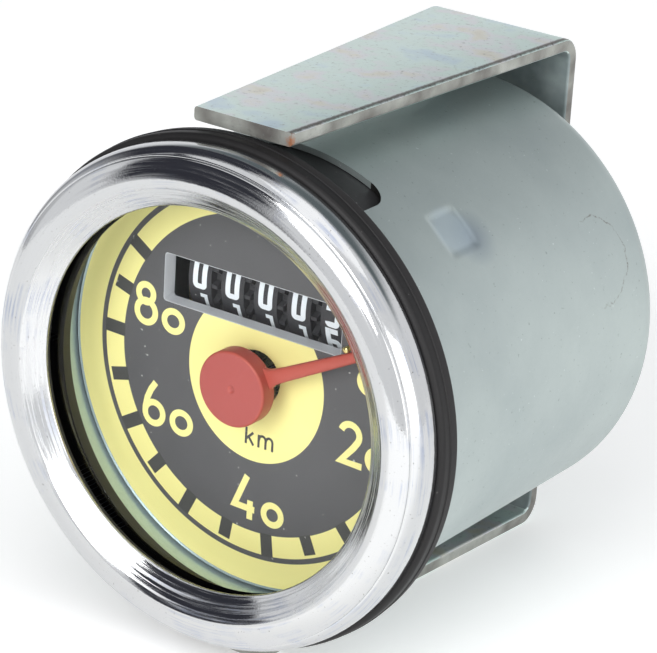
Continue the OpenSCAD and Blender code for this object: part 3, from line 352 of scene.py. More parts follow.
# passivated zinc strip: pale green-grey with faint blue, pink and straw tints, pitted
def stripMaterial(name, stops, pit, depth, roughness, metallic, rustSpot=None, dirt=None):
    material, tree, shader, spot = newMaterial(name, metallic=metallic)
    tintDrift = addNode(tree, "ShaderNodeTexNoise", {"Vector": spot, "Scale": 1 / (7.0 * mm), "Detail": 3.0,
                                                     "Roughness": 0.5})
    tint = addNode(tree, "ShaderNodeValToRGB", {"Fac": tintDrift})
    setRamp(tint, stops)
    pits = addNode(tree, "ShaderNodeTexNoise", {"Vector": spot, "Scale": 1 / (pit * mm), "Detail": 4.0,
                                                "Roughness": 0.65})
    inPit = addNode(tree, "ShaderNodeMapRange", {"Value": pits, "From Min": 0.58, "From Max": 0.70,
                                                 "To Max": 0.55})
    pitted = addNode(tree, "ShaderNodeMix", {0: inPit, 6: tint, 7: "#8C8F8C"},
                     data_type="RGBA")
    colour = pitted
    if rustSpot:
        toRust = addNode(tree, "ShaderNodeVectorMath", {0: spot, 1: tuple(v * mm for v in rustSpot[:3])},
                         operation="DISTANCE")
        ragged = addNode(tree, "ShaderNodeMath", {0: pits, 1: 1.6 * mm, 2: toRust},
                         operation="MULTIPLY_ADD")
        inRust = addNode(tree, "ShaderNodeMapRange", {"Value": ragged, "From Min": rustSpot[3] * mm,
                                                      "From Max": rustSpot[3] * 0.6 * mm, "To Max": 0.9})
        rusted = addNode(tree, "ShaderNodeMix", {0: inRust, 6: colour, 7: "#A96C45"}, data_type="RGBA")
        colour = rusted
    if dirt:
        # a dark line along the strip's right upper edge
        parts = addNode(tree, "ShaderNodeSeparateXYZ", {0: spot})
        edgeX = addNode(tree, "ShaderNodeMath", {0: parts.outputs["Y"], 1: dirt["widening"],
                                                 2: dirt["edgeAtZero"] * mm},
                        operation="MULTIPLY_ADD")
        fromEdge = addNode(tree, "ShaderNodeMath", {0: edgeX, 1: parts.outputs["X"]}, operation="SUBTRACT")
        wavy = addNode(tree, "ShaderNodeMath", {0: pits, 1: dirt["wander"] * mm, 2: fromEdge},
                       operation="MULTIPLY_ADD")
        offMiddle = addNode(tree, "ShaderNodeMath", {0: wavy, 1: dirt["inset"] * mm}, operation="SUBTRACT")
        offSize = addNode(tree, "ShaderNodeMath", {0: offMiddle}, operation="ABSOLUTE")
        inLine = addNode(tree, "ShaderNodeMapRange", {"Value": offSize, "From Min": dirt["half"] * mm,
                                                      "From Max": dirt["half"] * 0.4 * mm, "To Max": 0.85})
        upper = addNode(tree, "ShaderNodeMapRange", {"Value": parts.outputs["Z"], "From Min": 34.5 * mm,
                                                     "From Max": 35.3 * mm})
        dirty = addNode(tree, "ShaderNodeMath", {0: inLine, 1: upper}, operation="MULTIPLY")
        darkened = addNode(tree, "ShaderNodeMix", {0: dirty, 6: colour, 7: "#4A3F38"}, data_type="RGBA")
        colour = darkened
    gloss = addNode(tree, "ShaderNodeMapRange", {"Value": pits, "To Min": roughness * 0.75,
                                                 "To Max": roughness * 1.3})
    bump = addNode(tree, "ShaderNodeBump", {"Height": pits, "Distance": -depth * mm, "Strength": 1.0})
    fill(shader, {"Base Color": colour, "Roughness": gloss, "Normal": bump})
    return material


passivatedZinc = stripMaterial(
    "passivatedZincStrip", [(0.3, "#BFD1DA"), (0.42, "#CDDEDA"), (0.5, "#CCDCD6"), (0.58, "#D4D6D9"),
                            (0.65, "#D4D3C8"), (0.74, "#C9C1B4")], 0.7, 0.010, 0.30, 0.8,
                            (7.2, -55.6, 35.2, 1.5),
    {"widening": 0.05934, "edgeAtZero": 10.69, "inset": 0.8, "half": 0.42, "wander": 0.6})
shearedEdge = stripMaterial(
    "shearedZincEdge", [(0.35, "#6E6B67"), (0.5, "#979892"), (0.65, "#B4B6B0")], 0.45, 0.06, 0.42, 0.6,
    (7.2, -55.6, 34.6, 1.7))
# a darker copy of the strip for the inside of the web: painted shade, where the case shadows it
paintedShadeZinc = stripMaterial(
    "paintedShadeZincInside", [(0.35, "#717B7C"), (0.5, "#8C9696"), (0.65, "#A2ACAC")], 0.35, 0.01, 0.4, 0.5)


# moulded black rubber with a fine grain and dust, from a satin skin to a rougher one; its lighter and darker
# copies are painted light and painted shade
def rubberMaterial(name, low, high, roughness, depth, dust, gloss=0.35):
    material, tree, shader, spot = newMaterial(name, roughness=roughness)
    grain = addNode(tree, "ShaderNodeTexNoise", {"Vector": spot, "Scale": 1 / (0.5 * mm), "Detail": 4.0})
    tone = addNode(tree, "ShaderNodeMix", {0: grain, 6: low, 7: high}, data_type="RGBA")
    mote = addNode(tree, "ShaderNodeMapRange", {"Value": grain, "From Min": 0.73, "From Max": 0.78,
                                                "To Max": dust})
    dusty = addNode(tree, "ShaderNodeMix", {0: mote, 6: tone, 7: "#A8A8A6"}, data_type="RGBA")
    bump = addNode(tree, "ShaderNodeBump", {"Height": grain, "Distance": depth * mm, "Strength": 1.0})
    fill(shader, {"Base Color": dusty, "Normal": bump})
    shader.inputs["Specular IOR Level"].default_value = gloss
    return material


blackRubber = rubberMaterial("mouldedRubber", "#0D0C0D", "#191718", 0.5, 0.012, 0.6)
paintedLightRubber = rubberMaterial("paintedLightRubber", "#161415", "#211F20", 0.6, 0.012, 0.6)
# the channel is a near-black, low-gloss copy of the rubber, painted shade inside the bezel; its front bead and
# tongue top are a lighter copy with dust, the lighter tone painted light
channelRubber = rubberMaterial("channelRubber", "#060607", "#0A0A0B", 0.42, 0.0002, 0.0, 0.12)
dustAndPaintedLightRubber = rubberMaterial("channelRubberFront", "#242425", "#323233", 0.45, 0.003, 0.5)

# clear sheet glass: seen straight through, with a faint gloss on its front
clearGlass, tree, shader, spot = newMaterial("clearSheetGlass")
tree.nodes.clear()
edge = addNode(tree, "ShaderNodeFresnel", {"IOR": 1.45})
facing = addNode(tree, "ShaderNodeNewGeometry")
front = addNode(tree, "ShaderNodeMath", {0: 1.0, 1: facing.outputs["Backfacing"]}, operation="SUBTRACT")
gloss = addNode(tree, "ShaderNodeMath", {0: edge, 1: front}, operation="MULTIPLY")
faint = addNode(tree, "ShaderNodeMath", {0: gloss, 1: 0.45}, operation="MULTIPLY")
through = addNode(tree, "ShaderNodeBsdfTransparent", {"Color": (0.99, 0.995, 0.99, 1.0)})
shine = addNode(tree, "ShaderNodeBsdfGlossy", {"Roughness": 0.03})
mixed = addNode(tree, "ShaderNodeMixShader", {0: faint, 1: through, 2: shine})
addNode(tree, "ShaderNodeOutputMaterial", {"Surface": mixed})


# enamel, ink and moulded plastic: an even coat with faint clouds or rays and a few motes of dust
def coatMaterial(name, colour, shade, roughness, dust, rays=0.0):
    material, tree, shader, spot = newMaterial(name, roughness=roughness)
    cloud = addNode(tree, "ShaderNodeTexNoise", {"Vector": spot, "Scale": 1 / (4.5 * mm), "Detail": 4.0})
    motes = addNode(tree, "ShaderNodeTexNoise", {"Vector": spot, "Scale": 1 / (0.8 * mm), "Detail": 1.0})
    fine = addNode(tree, "ShaderNodeTexNoise", {"Vector": spot, "Scale": 1 / (0.4 * mm), "Detail": 2.0})
    mixBy = cloud
    if rays:
        parts = addNode(tree, "ShaderNodeSeparateXYZ", {0: spot})
        swing = addNode(tree, "ShaderNodeMath", {0: parts.outputs["Z"], 1: parts.outputs["X"]},
                        operation="ARCTAN2")
        fan = addNode(tree, "ShaderNodeCombineXYZ", {"X": swing})
        ray = addNode(tree, "ShaderNodeTexNoise", {"Vector": fan, "Scale": rays, "Detail": 3.0})
        mixBy = ray
    tone = addNode(tree, "ShaderNodeMix", {0: mixBy, 6: shade, 7: colour}, data_type="RGBA")
    mote = addNode(tree, "ShaderNodeMapRange", {"Value": motes, "From Min": 0.76, "From Max": 0.80,
                                                "To Max": dust})
    dusty = addNode(tree, "ShaderNodeMix", {0: mote, 6: tone, 7: "#F0F0EC"}, data_type="RGBA")
    bump = addNode(tree, "ShaderNodeBump", {"Height": fine, "Distance": 0.002 * mm, "Strength": 1.0})
    fill(shader, {"Base Color": dusty, "Normal": bump})
    return material


# the black enamel is coloured mid-grey: its own colour plus a painted reflection, the glass's faint veil over
# the dial
blackEnamel = coatMaterial("blackDialEnamel", "#5B5A5D", "#555557", 0.55, 0.5)
yellowInk = coatMaterial("yellowDialInk", "#FDF5A4", "#FAF09C", 0.6, 0.0)
blackInk = coatMaterial("blackDialInk", "#4B4B4A", "#454544", 0.6, 0.3)
redPaint = coatMaterial("redPointerPaint", "#B64F42", "#AD493D", 0.42, 0.1)
redHub = coatMaterial("redPressedHub", "#AF514C", "#A04541", 0.5, 0.2, 9.0)
greyPaint = coatMaterial("greyFramePaint", "#E0E2E6", "#D6D9DF", 0.45, 0.1)
whiteInk = coatMaterial("whiteDigitInk", "#F2F6FA", "#E6EDF4", 0.55, 0.0)
blackPlastic = coatMaterial("blackMouldedPlastic", "#39393C", "#333337", 0.45, 0.7)
whitePlastic = coatMaterial("whiteMouldedPlastic", "#E8E6DE", "#DEDBD1", 0.4, 0.1)
turnedSteel = metalMaterial("turnedSteel", "#C0C4C8", 0.25, 0.3, 0.004)
turnedBrass = metalMaterial("turnedBrass", "#D9C88A", 0.28, 0.3, 0.004)
sinteredBronze = metalMaterial("sinteredBronze", "#B8905A", 0.45, 0.15, 0.01)
spunAluminium = metalMaterial("spunAluminium", "#D0D3D5", 0.32, 0.4, 0.004)
softIron = metalMaterial("softIronSheet", "#9FA3A6", 0.45, 0.5, 0.006)
magnetAlloy = metalMaterial("castMagnetAlloy", "#6E6C6A", 0.55, 0.25, 0.02)
castZinc = metalMaterial("dieCastZinc", "#A5A8AA", 0.5, 0.45, 0.03)
# smoother zinc for the case's inner wall and the dial's bare edge; its pale blue colour is partly a painted
# reflection of the bright sky
paleZincPaintedReflection = metalMaterial("paleZincInsidePaintedReflection", "#C0D6DB", 0.25, 0.5, 0.003, 0.45)
platedSteel = metalMaterial("zincPlatedSteel", "#C3CBCB", 0.34, 0.25, 0.006)
print("materials ready:", len(bpy.data.materials))


def sizes(table, names):
    return [table[name] for name in names.split()]


def arcPoints(centre, radii, start, stop, count):
    # radii is one radius, or two for an ellipse
    wide, high = radii if isinstance(radii, tuple) else (radii, radii)
    angles = np.radians(np.linspace(start, stop, count + 1))
    return [(centre[0] + wide * math.cos(a), centre[1] + high * math.sin(a)) for a in angles]


def roundedBox(left, right, low, high, radius, steps):
    # the corner arcs of an outline, given by their middles, from the right upper one onwards
    corners = ((right, high, 0), (left, high, 90), (left, low, 180), (right, low, 270))
    return [point for x, z, start in corners for point in arcPoints((x, z), radius, start, start + 90, steps)]


def turned(profile, steps, start=0.0, stop=360.0):
    # an outline of (radius, y) points turned round the pointer's axis, the whole way or part of it
    whole = stop - start >= 360
    count = steps if whole else steps + 1
    verts, faces = [], []
    for r, y in profile:
        for k in range(count):
            a = math.radians(start + (stop - start) * k / steps)
            verts.append((r * math.cos(a), y, r * math.sin(a)))
    rows = len(profile)
    for i in range(rows):
        j = (i + 1) % rows
        for k in range(steps):
            m = (k + 1) % count
            faces.append((i * count + k, i * count + m, j * count + m, j * count + k))
    if not whole:
        faces += [tuple(i * count for i in range(rows)), tuple(i * count + steps for i in range(rows))]
    return verts, faces


def skin(count, levels, start=0):
    # faces from each ring of points to the next one
    return [(a + k, a + (k + 1) % count, a + count + (k + 1) % count, a + count + k)
            for a in range(start, start + (levels - 1) * count, count) for k in range(count)]


def caps(count, levels, start=0):
    last = start + (levels - 1) * count
    return [tuple(range(start, start + count)), tuple(range(last, last + count))]


def looped(levels):
    # the points of a stack of outlines at their depths
    return [(x, y, z) for points, y in levels for x, z in points]


def shaded(mesh, sharp):
    mesh.shade_smooth()
    mesh.set_sharp_from_angle(angle=math.radians(sharp))


def makePiece(name, verts, faces, materials=(), sharp=32, rule=None):
    mesh = bpy.data.meshes.new(name)
    mesh.from_pydata([(x * mm, y * mm, z * mm) for x, y, z in verts], [], faces)
    work = bmesh.new()
    work.from_mesh(mesh)
    bmesh.ops.remove_doubles(work, verts=work.verts, dist=2e-7)
    bmesh.ops.dissolve_degenerate(work, edges=work.edges, dist=1e-8)
    bmesh.ops.recalc_face_normals(work, faces=work.faces)
    work.to_mesh(mesh)
    work.free()
    for material in materials:
        mesh.materials.append(material)
    if rule:
        for face in mesh.polygons:
            face.material_index = rule(face.center / mm, face.normal)
    shaded(mesh, sharp)
    return placed(name, mesh)


def settled(piece, sharp):
    # the evaluated shape becomes the piece's own plain mesh
    bpy.context.view_layer.update()
    depsgraph = bpy.context.evaluated_depsgraph_get()
    mesh = bpy.data.meshes.new_from_object(piece.evaluated_get(depsgraph), depsgraph=depsgraph)
    piece.modifiers.clear()
    piece.data = mesh
    shaded(mesh, sharp)
    return piece


def carve(piece, tools, operation="DIFFERENCE", sharp=32):
    for tool in tools:
        step = piece.modifiers.new("carve", "BOOLEAN")
        step.operation = operation
        step.solver = "EXACT"
        step.object = tool
    settled(piece, sharp)
    for tool in tools:
        bpy.data.objects.remove(tool)


def barPiece(name, radius, start, stop, z=0.0, steps=96):
    verts, faces = turned([(0, start), (radius, start), (radius, stop), (0, stop)], steps)
    return makePiece(name, [(x, y, vz + z) for x, y, vz in verts], faces)


def mount(piece, slot, *nodes, body="housing"):
    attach(piece, body)
    if nodes:
        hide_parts(*nodes)


def newTree(name, floats, **others):
    tree = bpy.data.node_groups.new(name, "GeometryNodeTree")
    tree.is_modifier = True
    for label, kind in {**dict.fromkeys(floats.split(), "Float"), **others}.items():
        tree.interface.new_socket(label, in_out="INPUT", socket_type="NodeSocket" + kind)
    tree.interface.new_socket("Geometry", in_out="OUTPUT", socket_type="NodeSocketGeometry")
    return tree, addNode(tree, "NodeGroupInput").outputs


def closeTree(tree, geometry, material):
    real = addNode(tree, "GeometryNodeRealizeInstances", {"Geometry": geometry})
    coated = addNode(tree, "GeometryNodeSetMaterial", {"Geometry": real, "Material": material})
    addNode(tree, "NodeGroupOutput", {0: coated})


def grown(name, tree, values):
    # an empty mesh that the tree fills, kept as a plain mesh
    piece = placed(name, bpy.data.meshes.new(name))
    step = piece.modifiers.new("grow", "NODES")
    step.node_group = tree
    for item in tree.interface.items_tree:
        if item.item_type == "SOCKET" and item.in_out == "INPUT" and item.name in values:
            step[item.identifier] = values[item.name]
    return settled(piece, 40)


# chrome bezel: skirt, domed shoulder with a rolled crease, rounded crest and a cone down to the lip
bezel = {"outer": 33.0, "crest": 29.0, "rear": -58.1, "skirt": 1.6, "height": 5.0, "crestRound": 2.0,
         "tilt": 34.0, "lipR": 25.4, "sheet": 0.7, "crease": 46.0, "creaseHalf": 3.0, "creaseDepth": 0.13,
         "edge": 0.3}
outer, crest, rear, skirt, lipR = sizes(bezel, "outer crest rear skirt lipR")
crease, creaseHalf, edge = sizes(bezel, "crease creaseHalf edge")
curveY = rear - skirt
rise = bezel["height"] - skirt
outline = arcPoints((outer - edge, rear - edge), edge, 90, 0, 4)
for t in sorted({*np.linspace(0, 90, 31), *(np.linspace(-1, 1, 9) * creaseHalf + crease)}):
    off = abs(t - crease) / creaseHalf
    sink = bezel["creaseDepth"] * (1 + math.cos(math.pi * off)) / 2 if off < 1 else 0
    a = math.radians(t)
    outline.append((crest + (outer - crest - sink) * math.cos(a), curveY - (rise - sink) * math.sin(a)))
tilt, half = math.radians(bezel["tilt"]), bezel["sheet"] / 2
coneStart, coneStop = -90 - bezel["tilt"], -270 - bezel["tilt"]
outline += arcPoints((crest, rear - bezel["height"] + bezel["crestRound"]), bezel["crestRound"], -90,
                     coneStart, 12)[1:]
coneR, coneY = outline[-1]
lipY = coneY + (coneR - lipR) * math.tan(tilt)
outline += [(coneR + (lipR - coneR) * k, coneY + (lipY - coneY) * k) for k in (0.33, 0.67, 1.0)]
outline += arcPoints((lipR + half * math.sin(tilt), lipY + half * math.cos(tilt)), half, coneStart, coneStop,
                     10)[1:]
outline.append((coneR + 2 * half * math.sin(tilt), coneY + 2 * half * math.cos(tilt)))
outline += arcPoints((crest, curveY), (outer - crest - bezel["sheet"], bezel["sheet"] - rise), 90, 0, 20)
outline += [(32.3, -58.8), (31.3, -58.8), (31.3, -58.1)]
mount(makePiece("bezelRing", *turned(outline, 384), [chromePlate], 40), "bezel_chrome", "bezel")

# rubber ring behind the bezel, with its fine moulding line
ring = {"inner": 30.0, "outer": 33.7, "front": -58.1, "rear": -54.5, "edge": 0.7, "seam": -56.35,
        "seamHalf": 0.12, "seamHigh": 0.1, "seamRoot": 0.02}
inner, outer, front, rear, edge, seam, seamHalf = sizes(ring, "inner outer front rear edge seam seamHalf")
seamRoot = outer - ring["seamRoot"]
outline = [(inner, front)] + arcPoints((outer - edge, front + edge), edge, -90, 0, 8)
outline += [(seamRoot, seam - seamHalf), (outer + ring["seamHigh"], seam), (seamRoot, seam + seamHalf)]
outline += arcPoints((outer - edge, rear - edge), edge, 0, 90, 8) + [(inner, rear)]


# the rear band takes a lighter copy of the rubber: painted light, beside the front band in the bezel's shade
def rearBand(centre, normal):
    return int(centre.y > seam + seamHalf)


piece = makePiece("panelRubber", *turned(outline, 320), [blackRubber, paintedLightRubber], 40, rearBand)
mount(piece, "black_rubber", "rubber_ring")

# glass in its rubber channel, whose tongue closes the case's light slot from inside
channel = {"steps": 320, "slip": (0.35, -0.9), "lipFront": -57.4, "lipOuter": 28.1, "beadRear": -59.0,
           "tongueFront": -54.5, "tongueRear": -42.6, "tongueIn": 28.45, "tongueOut": 29.1, "tongueHalf": 33.5,
           "edge": 0.3}
tongueFront, tongueRear, tongueIn, tongueOut = sizes(channel, "tongueFront tongueRear tongueIn tongueOut")
edge = channel["edge"]
outline = [(26.1, -60.5), (31.5, -60.5), (31.5, -59.6), (29.2, -59.6), (29.2, -53.6), (28.0, -53.6),
           (27.72, -53.68), (27.5, -53.86), (27.36, -54.15), (26.68, -56.25), (26.95, -56.42), (26.95, -56.62),
           (26.45, -56.8), (26.2, -57.5), (28.0, -57.5), (28.0, -59.5), (25.9, -59.5), (25.9, -60.3)]
verts, faces = turned(outline, channel["steps"])
# the soft rear lip has slipped down and to the right
slipX, slipZ = channel["slip"]
verts = [(x + slipX, y, z + slipZ) if y > channel["lipFront"] and math.hypot(x,
                                                                             z) < channel["lipOuter"] else (x,
                                                                                                            y,
                                                                                                            z)
         for x, y, z in verts]
tongue = arcPoints((tongueOut - edge, tongueRear - edge), edge, 0, 90, 4)
tongue += [(tongueIn, tongueRear), (tongueIn, tongueFront), (tongueOut, tongueFront)]
some, more = turned(tongue, 60, 90 - channel["tongueHalf"], 90 + channel["tongueHalf"])
faces += [tuple(i + len(verts) for i in face) for face in more]
verts += some


def frontAndTongueTop(centre, normal):
    # the bead in front of the glass and the top of the tongue take the lighter rubber: dust motes, and a
    # lighter tone that is painted light
    return int(centre.y < channel["beadRear"] or centre.y > -54.4 and math.hypot(centre.x, centre.z) > 29)


mount(makePiece("glassChannel", verts, faces, [channelRubber, dustAndPaintedLightRubber], 50, frontAndTongueTop), "black_rubber",
      "glass_gasket")

outline = [(0, -59.5), (27.85, -59.5), (28.0, -59.35), (28.0, -57.65), (27.85, -57.5), (0, -57.5)]
mount(makePiece("glassDisc", *turned(outline, 256), [clearGlass], 30), "clear_glass", "glass")
print("bezel, rubber and glass made")

# drawn case with its flange, pressed dimples and the light slot
case = {"outer": 30.0, "wall": 0.8, "corner": 3.5, "flange": 32.3, "flangeRear": -58.8, "front": -59.6,
        "hole": 7.0, "dimple": 6.0, "press": 0.22, "slotHalf": 14.6, "slotFront": -54.5, "slotRear": -44.1,
        "slotCorner": 3.0}
outer, wall, corner, flange, flangeRear, hole = sizes(case, "outer wall corner flange flangeRear hole")
inner = outer - wall
bendR = outer - corner
rows = sorted({*np.arange(-58.0, -4.0, 3.0), *np.arange(-42.4, -33.9, 0.3)})
outline = [(hole, 0.0)] + arcPoints((bendR, -corner), corner, 90, 0, 12) + [(outer, y) for y in reversed(rows)]
outline += [(outer, flangeRear), (flange, flangeRear), (flange, case["front"]), (inner, case["front"])]
outline += [(inner, y) for y in rows] + arcPoints((bendR, -corner), corner - wall, 0, 90, 12) + [(hole, -wall)]
verts, faces = turned(outline, 600)
flat = np.array(verts)
radius = np.hypot(flat[:, 0], flat[:, 2])
bearing = np.degrees(np.arctan2(flat[:, 0], flat[:, 2]))
for angle in zinc["pressed"]:
    across = np.radians((bearing - angle + 180) % 360 - 180) * outer
    along = flat[:, 1] - zinc["pressedY"]
    press = np.ones(len(flat))
    for away in (across, along):
        ease = np.clip((case["dimple"] / 2 + 0.45 - np.abs(away)) / 1.1, 0, 1)
        press *= ease * ease * (3 - 2 * ease)
    press[radius < inner - 0.1] = 0
    for axis in (0, 2):
        flat[:, axis] -= flat[:, axis] / np.maximum(radius, 1e-6) * press * case["press"]
piece = makePiece("zincCase", flat, faces, [zincSheet, cutSheet, paleZincPaintedReflection])
corner, half, slotFront, slotRear = sizes(case, "slotCorner slotHalf slotFront slotRear")
corners = [(-half, slotFront), (half, slotFront)]
for x, start in ((half - corner, 0), (corner - half, 90)):
    corners += arcPoints((x, slotRear - corner), corner, start, start + 90, 12)
verts = [(x, y, z) for z in (15.0, 35.0) for x, y in corners]
carve(piece, [makePiece("slotTool", verts, caps(len(corners), 2) + skin(len(corners), 2))])
# faces in the slot's cut take the dark sheet edge; the inner wall takes the smoother zinc with its painted
# reflection
for face in piece.data.polygons:
    x, y, z = face.center / mm
    inwards = face.normal.dot(Vector((x, 0, z)).normalized())
    inSheet = inner + 0.05 < math.hypot(x, z) < outer - 0.05
    if inSheet and slotFront - 0.1 < y < slotRear + 0.1 and abs(inwards) < 0.5:
        face.material_index = 1
    elif inwards < -0.8:
        face.material_index = 2
mount(piece, "case_zinc", "case")
print("case made")

# dial: black sheet with its rim turned up a little, yellow where it was masked
dial = {"face": -49.8, "sheet": 0.5, "hole": 3.65, "disc": 11.1, "discAt": (-0.15, -0.3),
        "discR": (10.6, 11.35), "bandInner": 21.45, "bandOuter": 24.38, "rimInner": 25.1, "flat": 27.0,
        "bare": 28.55, "turnUp": ((27.6, 0.08), (28.1, 0.22), (28.5, 0.4), (28.75, 0.55)),
        "window": (-15.3, 12.6, 6.3, 12.95), "windowCorner": 0.5}
dialFace, sheet, disc, bandInner, bandOuter, rimInner = sizes(dial,
                                                              "face sheet disc bandInner bandOuter rimInner")
outline = [(r, dialFace) for r in (dial["hole"], disc, 17.0, bandInner, bandOuter, rimInner, dial["flat"])]
outline += [(r, dialFace - lift) for r, lift in dial["turnUp"]]
outline += [(r + 0.05, dialFace - lift + sheet * 0.6) for r, lift in reversed(dial["turnUp"])]
outline += [(r, dialFace + sheet) for r in (dial["flat"], dial["hole"])]
verts, faces = turned(outline, 320)
(discX, discZ), (wide, high) = dial["discAt"], dial["discR"]
for k, (x, y, z) in enumerate(verts):
    if abs(math.hypot(x, z) - disc) < 0.01:
        a = math.atan2(z, x)
        verts[k] = (discX + wide * math.cos(a), y, discZ + high * math.sin(a))


def dialInk(centre, normal):
    r = math.hypot(centre.x, centre.z)
    front = centre.y < dialFace + 0.2 or r > dial["flat"]
    yellow = r < disc - 1 or bandInner < r < bandOuter or r > rimInner
    # the bare edge takes the smoother zinc with its painted reflection
    if front and r > dial["bare"]:
        return 2
    return 1 if front and yellow and normal.y < 0.6 else 0


def windowLoop(grow):
    # the window's outline with rounded corners, grown outwards
    x0, x1, z0, z1 = dial["window"]
    c = dial["windowCorner"] + grow
    return roundedBox(x0 - grow + c, x1 + grow - c, z0 - grow + c, z1 + grow - c, c, 6)


piece = makePiece("dialSheet", verts, faces, [blackEnamel, yellowInk, paleZincPaintedReflection], 40, dialInk)
n = len(windowLoop(0))
verts = looped([(windowLoop(0), -51.0), (windowLoop(0), -48.0)])
carve(piece, [makePiece("windowTool", verts, skin(n, 2) + caps(n, 2))], sharp=40)
mount(piece, "dial_enamel", "dial")

# grey frame: its walls line the window from the dial's face back to the wheels
window = {"front": -49.79, "behind": -49.28, "rear": -47.6, "lining": 0.07, "wall": 0.7, "snug": 0.01}
front, behind, rear = sizes(window, "front behind rear")
lining, wall, snug = (windowLoop(grow) for grow in (-window["lining"], window["wall"], -window["snug"]))
verts = looped([(lining, front), (lining, rear), (wall, rear), (wall, behind), (snug, behind), (snug, front),
                (lining, front)])
mount(makePiece("windowFrame", verts, skin(n, 7), [greyPaint], 40), "grey_paint", "window_frame")


def ribbon(points, width, low, high, closed):
    # a flat stroke of ink: four corners at each point of a centre line
    line = np.array(points, float)
    count = len(line)
    verts, faces = [], []
    for i in range(count):
        ways = []
        if closed or i > 0:
            ways.append(line[i] - line[(i - 1) % count])
        if closed or i < count - 1:
            ways.append(line[(i + 1) % count] - line[i])
        ways = [way / np.linalg.norm(way) for way in ways]
        way = sum(ways)
        way /= np.linalg.norm(way)
        side = np.array([-way[1], way[0]]) * width / 2 / max(abs(float(np.dot(way, ways[0]))), 0.5)
        verts += [(*(line[i] + s * side), height) for s, height in ((1, high), (-1, high), (-1, low), (1, low))]
    for i in range(count if closed else count - 1):
        a, b = 4 * i, 4 * ((i + 1) % count)
        faces += [(a + k, a + (k + 1) % 4, b + (k + 1) % 4, b + k) for k in range(4)]
    return verts, faces if closed else faces + caps(4, count)


def inkPiece(name, strokes, width, material, put, height=0.02):
    # strokes are lifted a hair over one another where they cross
    verts, faces = [], []
    for number, (points, closed, *own) in enumerate(strokes):
        some, more = ribbon(points, own[0] if own else width, -0.02, height + 0.002 * (number % 4), closed)
        faces += [tuple(i + len(verts) for i in face) for face in more]
        verts += [put(*v) for v in some]
    return makePiece(name, verts, faces, [material], 50)


def ringStroke(x, z, radii):
    return arcPoints((x, z), radii, 0, 360, 40)[:-1], True


def onDial(x, z, height):
    return (x, dialFace - height, z)


# each print: its ink, the width of its strokes and their centre lines
prints = {
    "dialNumerals": (yellowInk, 0.9, [
        ringStroke(-18.1, 6.45, 1.2), ringStroke(-17.98, 4.0, 1.49), ringStroke(-13.55, 3.8, (1.45, 1.35)),
        ([(-15.95, -5.45), (-16.7, -6.6), (-17.25, -7.9), (-17.5, -9.2)]
         + arcPoints((-16.07, -9.75), 1.45, 160, 180, 2), False),
        ringStroke(-16.07, -9.75, 1.45), ringStroke(-11.57, -9.87, (1.47, 1.4)),
        ([(-0.62, -13.95), (-2.45, -18.4), (0.75, -18.45)], False), ([(0.02, -17.3), (0.02, -19.95)], False),
        ringStroke(3.59, -18.25, (1.37, 1.33)),
        (arcPoints((14.75, -3.5), 1.4, 165, -30, 12) + [(15.3, -5.2), (13.55, -7.3), (16.75, -7.35)], False),
        ringStroke(19.0, -5.9, 1.42), ringStroke(17.1, 4.25, 1.42),
    ]),
    "unitLetters": (blackInk, 0.34, [
        ([(-1.15, -7.2), (-1.15, -9.5)], False), ([(-0.05, -7.75), (-1.05, -8.75)], False),
        ([(-0.75, -8.45), (0.05, -9.5)], False), ([(0.85, -7.75), (0.85, -9.5)], False),
        ([(0.85, -8.35)] + arcPoints((1.42, -8.35), (0.52, 0.55), 180, 0, 8) + [(1.94, -9.5)], False),
        ([(1.94, -8.35)] + arcPoints((2.5, -8.35), (0.52, 0.55), 180, 0, 8) + [(3.02, -9.5)], False),
    ]),
}
for name, (ink, stroke, strokes) in prints.items():
    mount(inkPiece(name, strokes, stroke, ink, onDial), "dial_enamel")

# black ticks set out by rule round the yellow band
ticks = {"first": 147.0, "step": 31.6, "stretch": 0.25, "count": 9, "width": 1.82, "high": 0.04, "inner": 21.3,
         "fullOuter": 24.5, "halfOuter": 23.95}
tickRing, given = newTree("tickRing", "Begin First Step Stretch Inner Outer Width", Count="Int", Ink="Material")
index = addNode(tickRing, "GeometryNodeInputIndex")
number = addNode(tickRing, "ShaderNodeMath", {0: index, 1: given["Begin"]}, operation="ADD")
slope = addNode(tickRing, "ShaderNodeMath", {0: number, 1: given["Stretch"], 2: given["Step"]},
                operation="MULTIPLY_ADD")
angle = addNode(tickRing, "ShaderNodeMath", {0: number, 1: slope, 2: given["First"]}, operation="MULTIPLY_ADD")
both = addNode(tickRing, "ShaderNodeMath", {0: given["Inner"], 1: given["Outer"]}, operation="ADD")
middle = addNode(tickRing, "ShaderNodeMath", {0: both, 1: 0.5}, operation="MULTIPLY")
length = addNode(tickRing, "ShaderNodeMath", {0: given["Outer"], 1: given["Inner"]}, operation="SUBTRACT")
cosine = addNode(tickRing, "ShaderNodeMath", {0: angle}, operation="COSINE")
sine = addNode(tickRing, "ShaderNodeMath", {0: angle}, operation="SINE")
x = addNode(tickRing, "ShaderNodeMath", {0: cosine, 1: middle}, operation="MULTIPLY")
z = addNode(tickRing, "ShaderNodeMath", {0: sine, 1: middle}, operation="MULTIPLY")
spot = addNode(tickRing, "ShaderNodeCombineXYZ", {"X": x, "Y": dialFace * mm, "Z": z})
points = addNode(tickRing, "GeometryNodePoints", {"Count": given["Count"], "Position": spot})
back = addNode(tickRing, "ShaderNodeMath", {0: angle, 1: -1.0}, operation="MULTIPLY")
turnBy = addNode(tickRing, "ShaderNodeCombineXYZ", {"Y": back})
size = addNode(tickRing, "ShaderNodeCombineXYZ", {"X": length, "Y": ticks["high"] * mm, "Z": given["Width"]})
block = addNode(tickRing, "GeometryNodeMeshCube", {"Size": size})
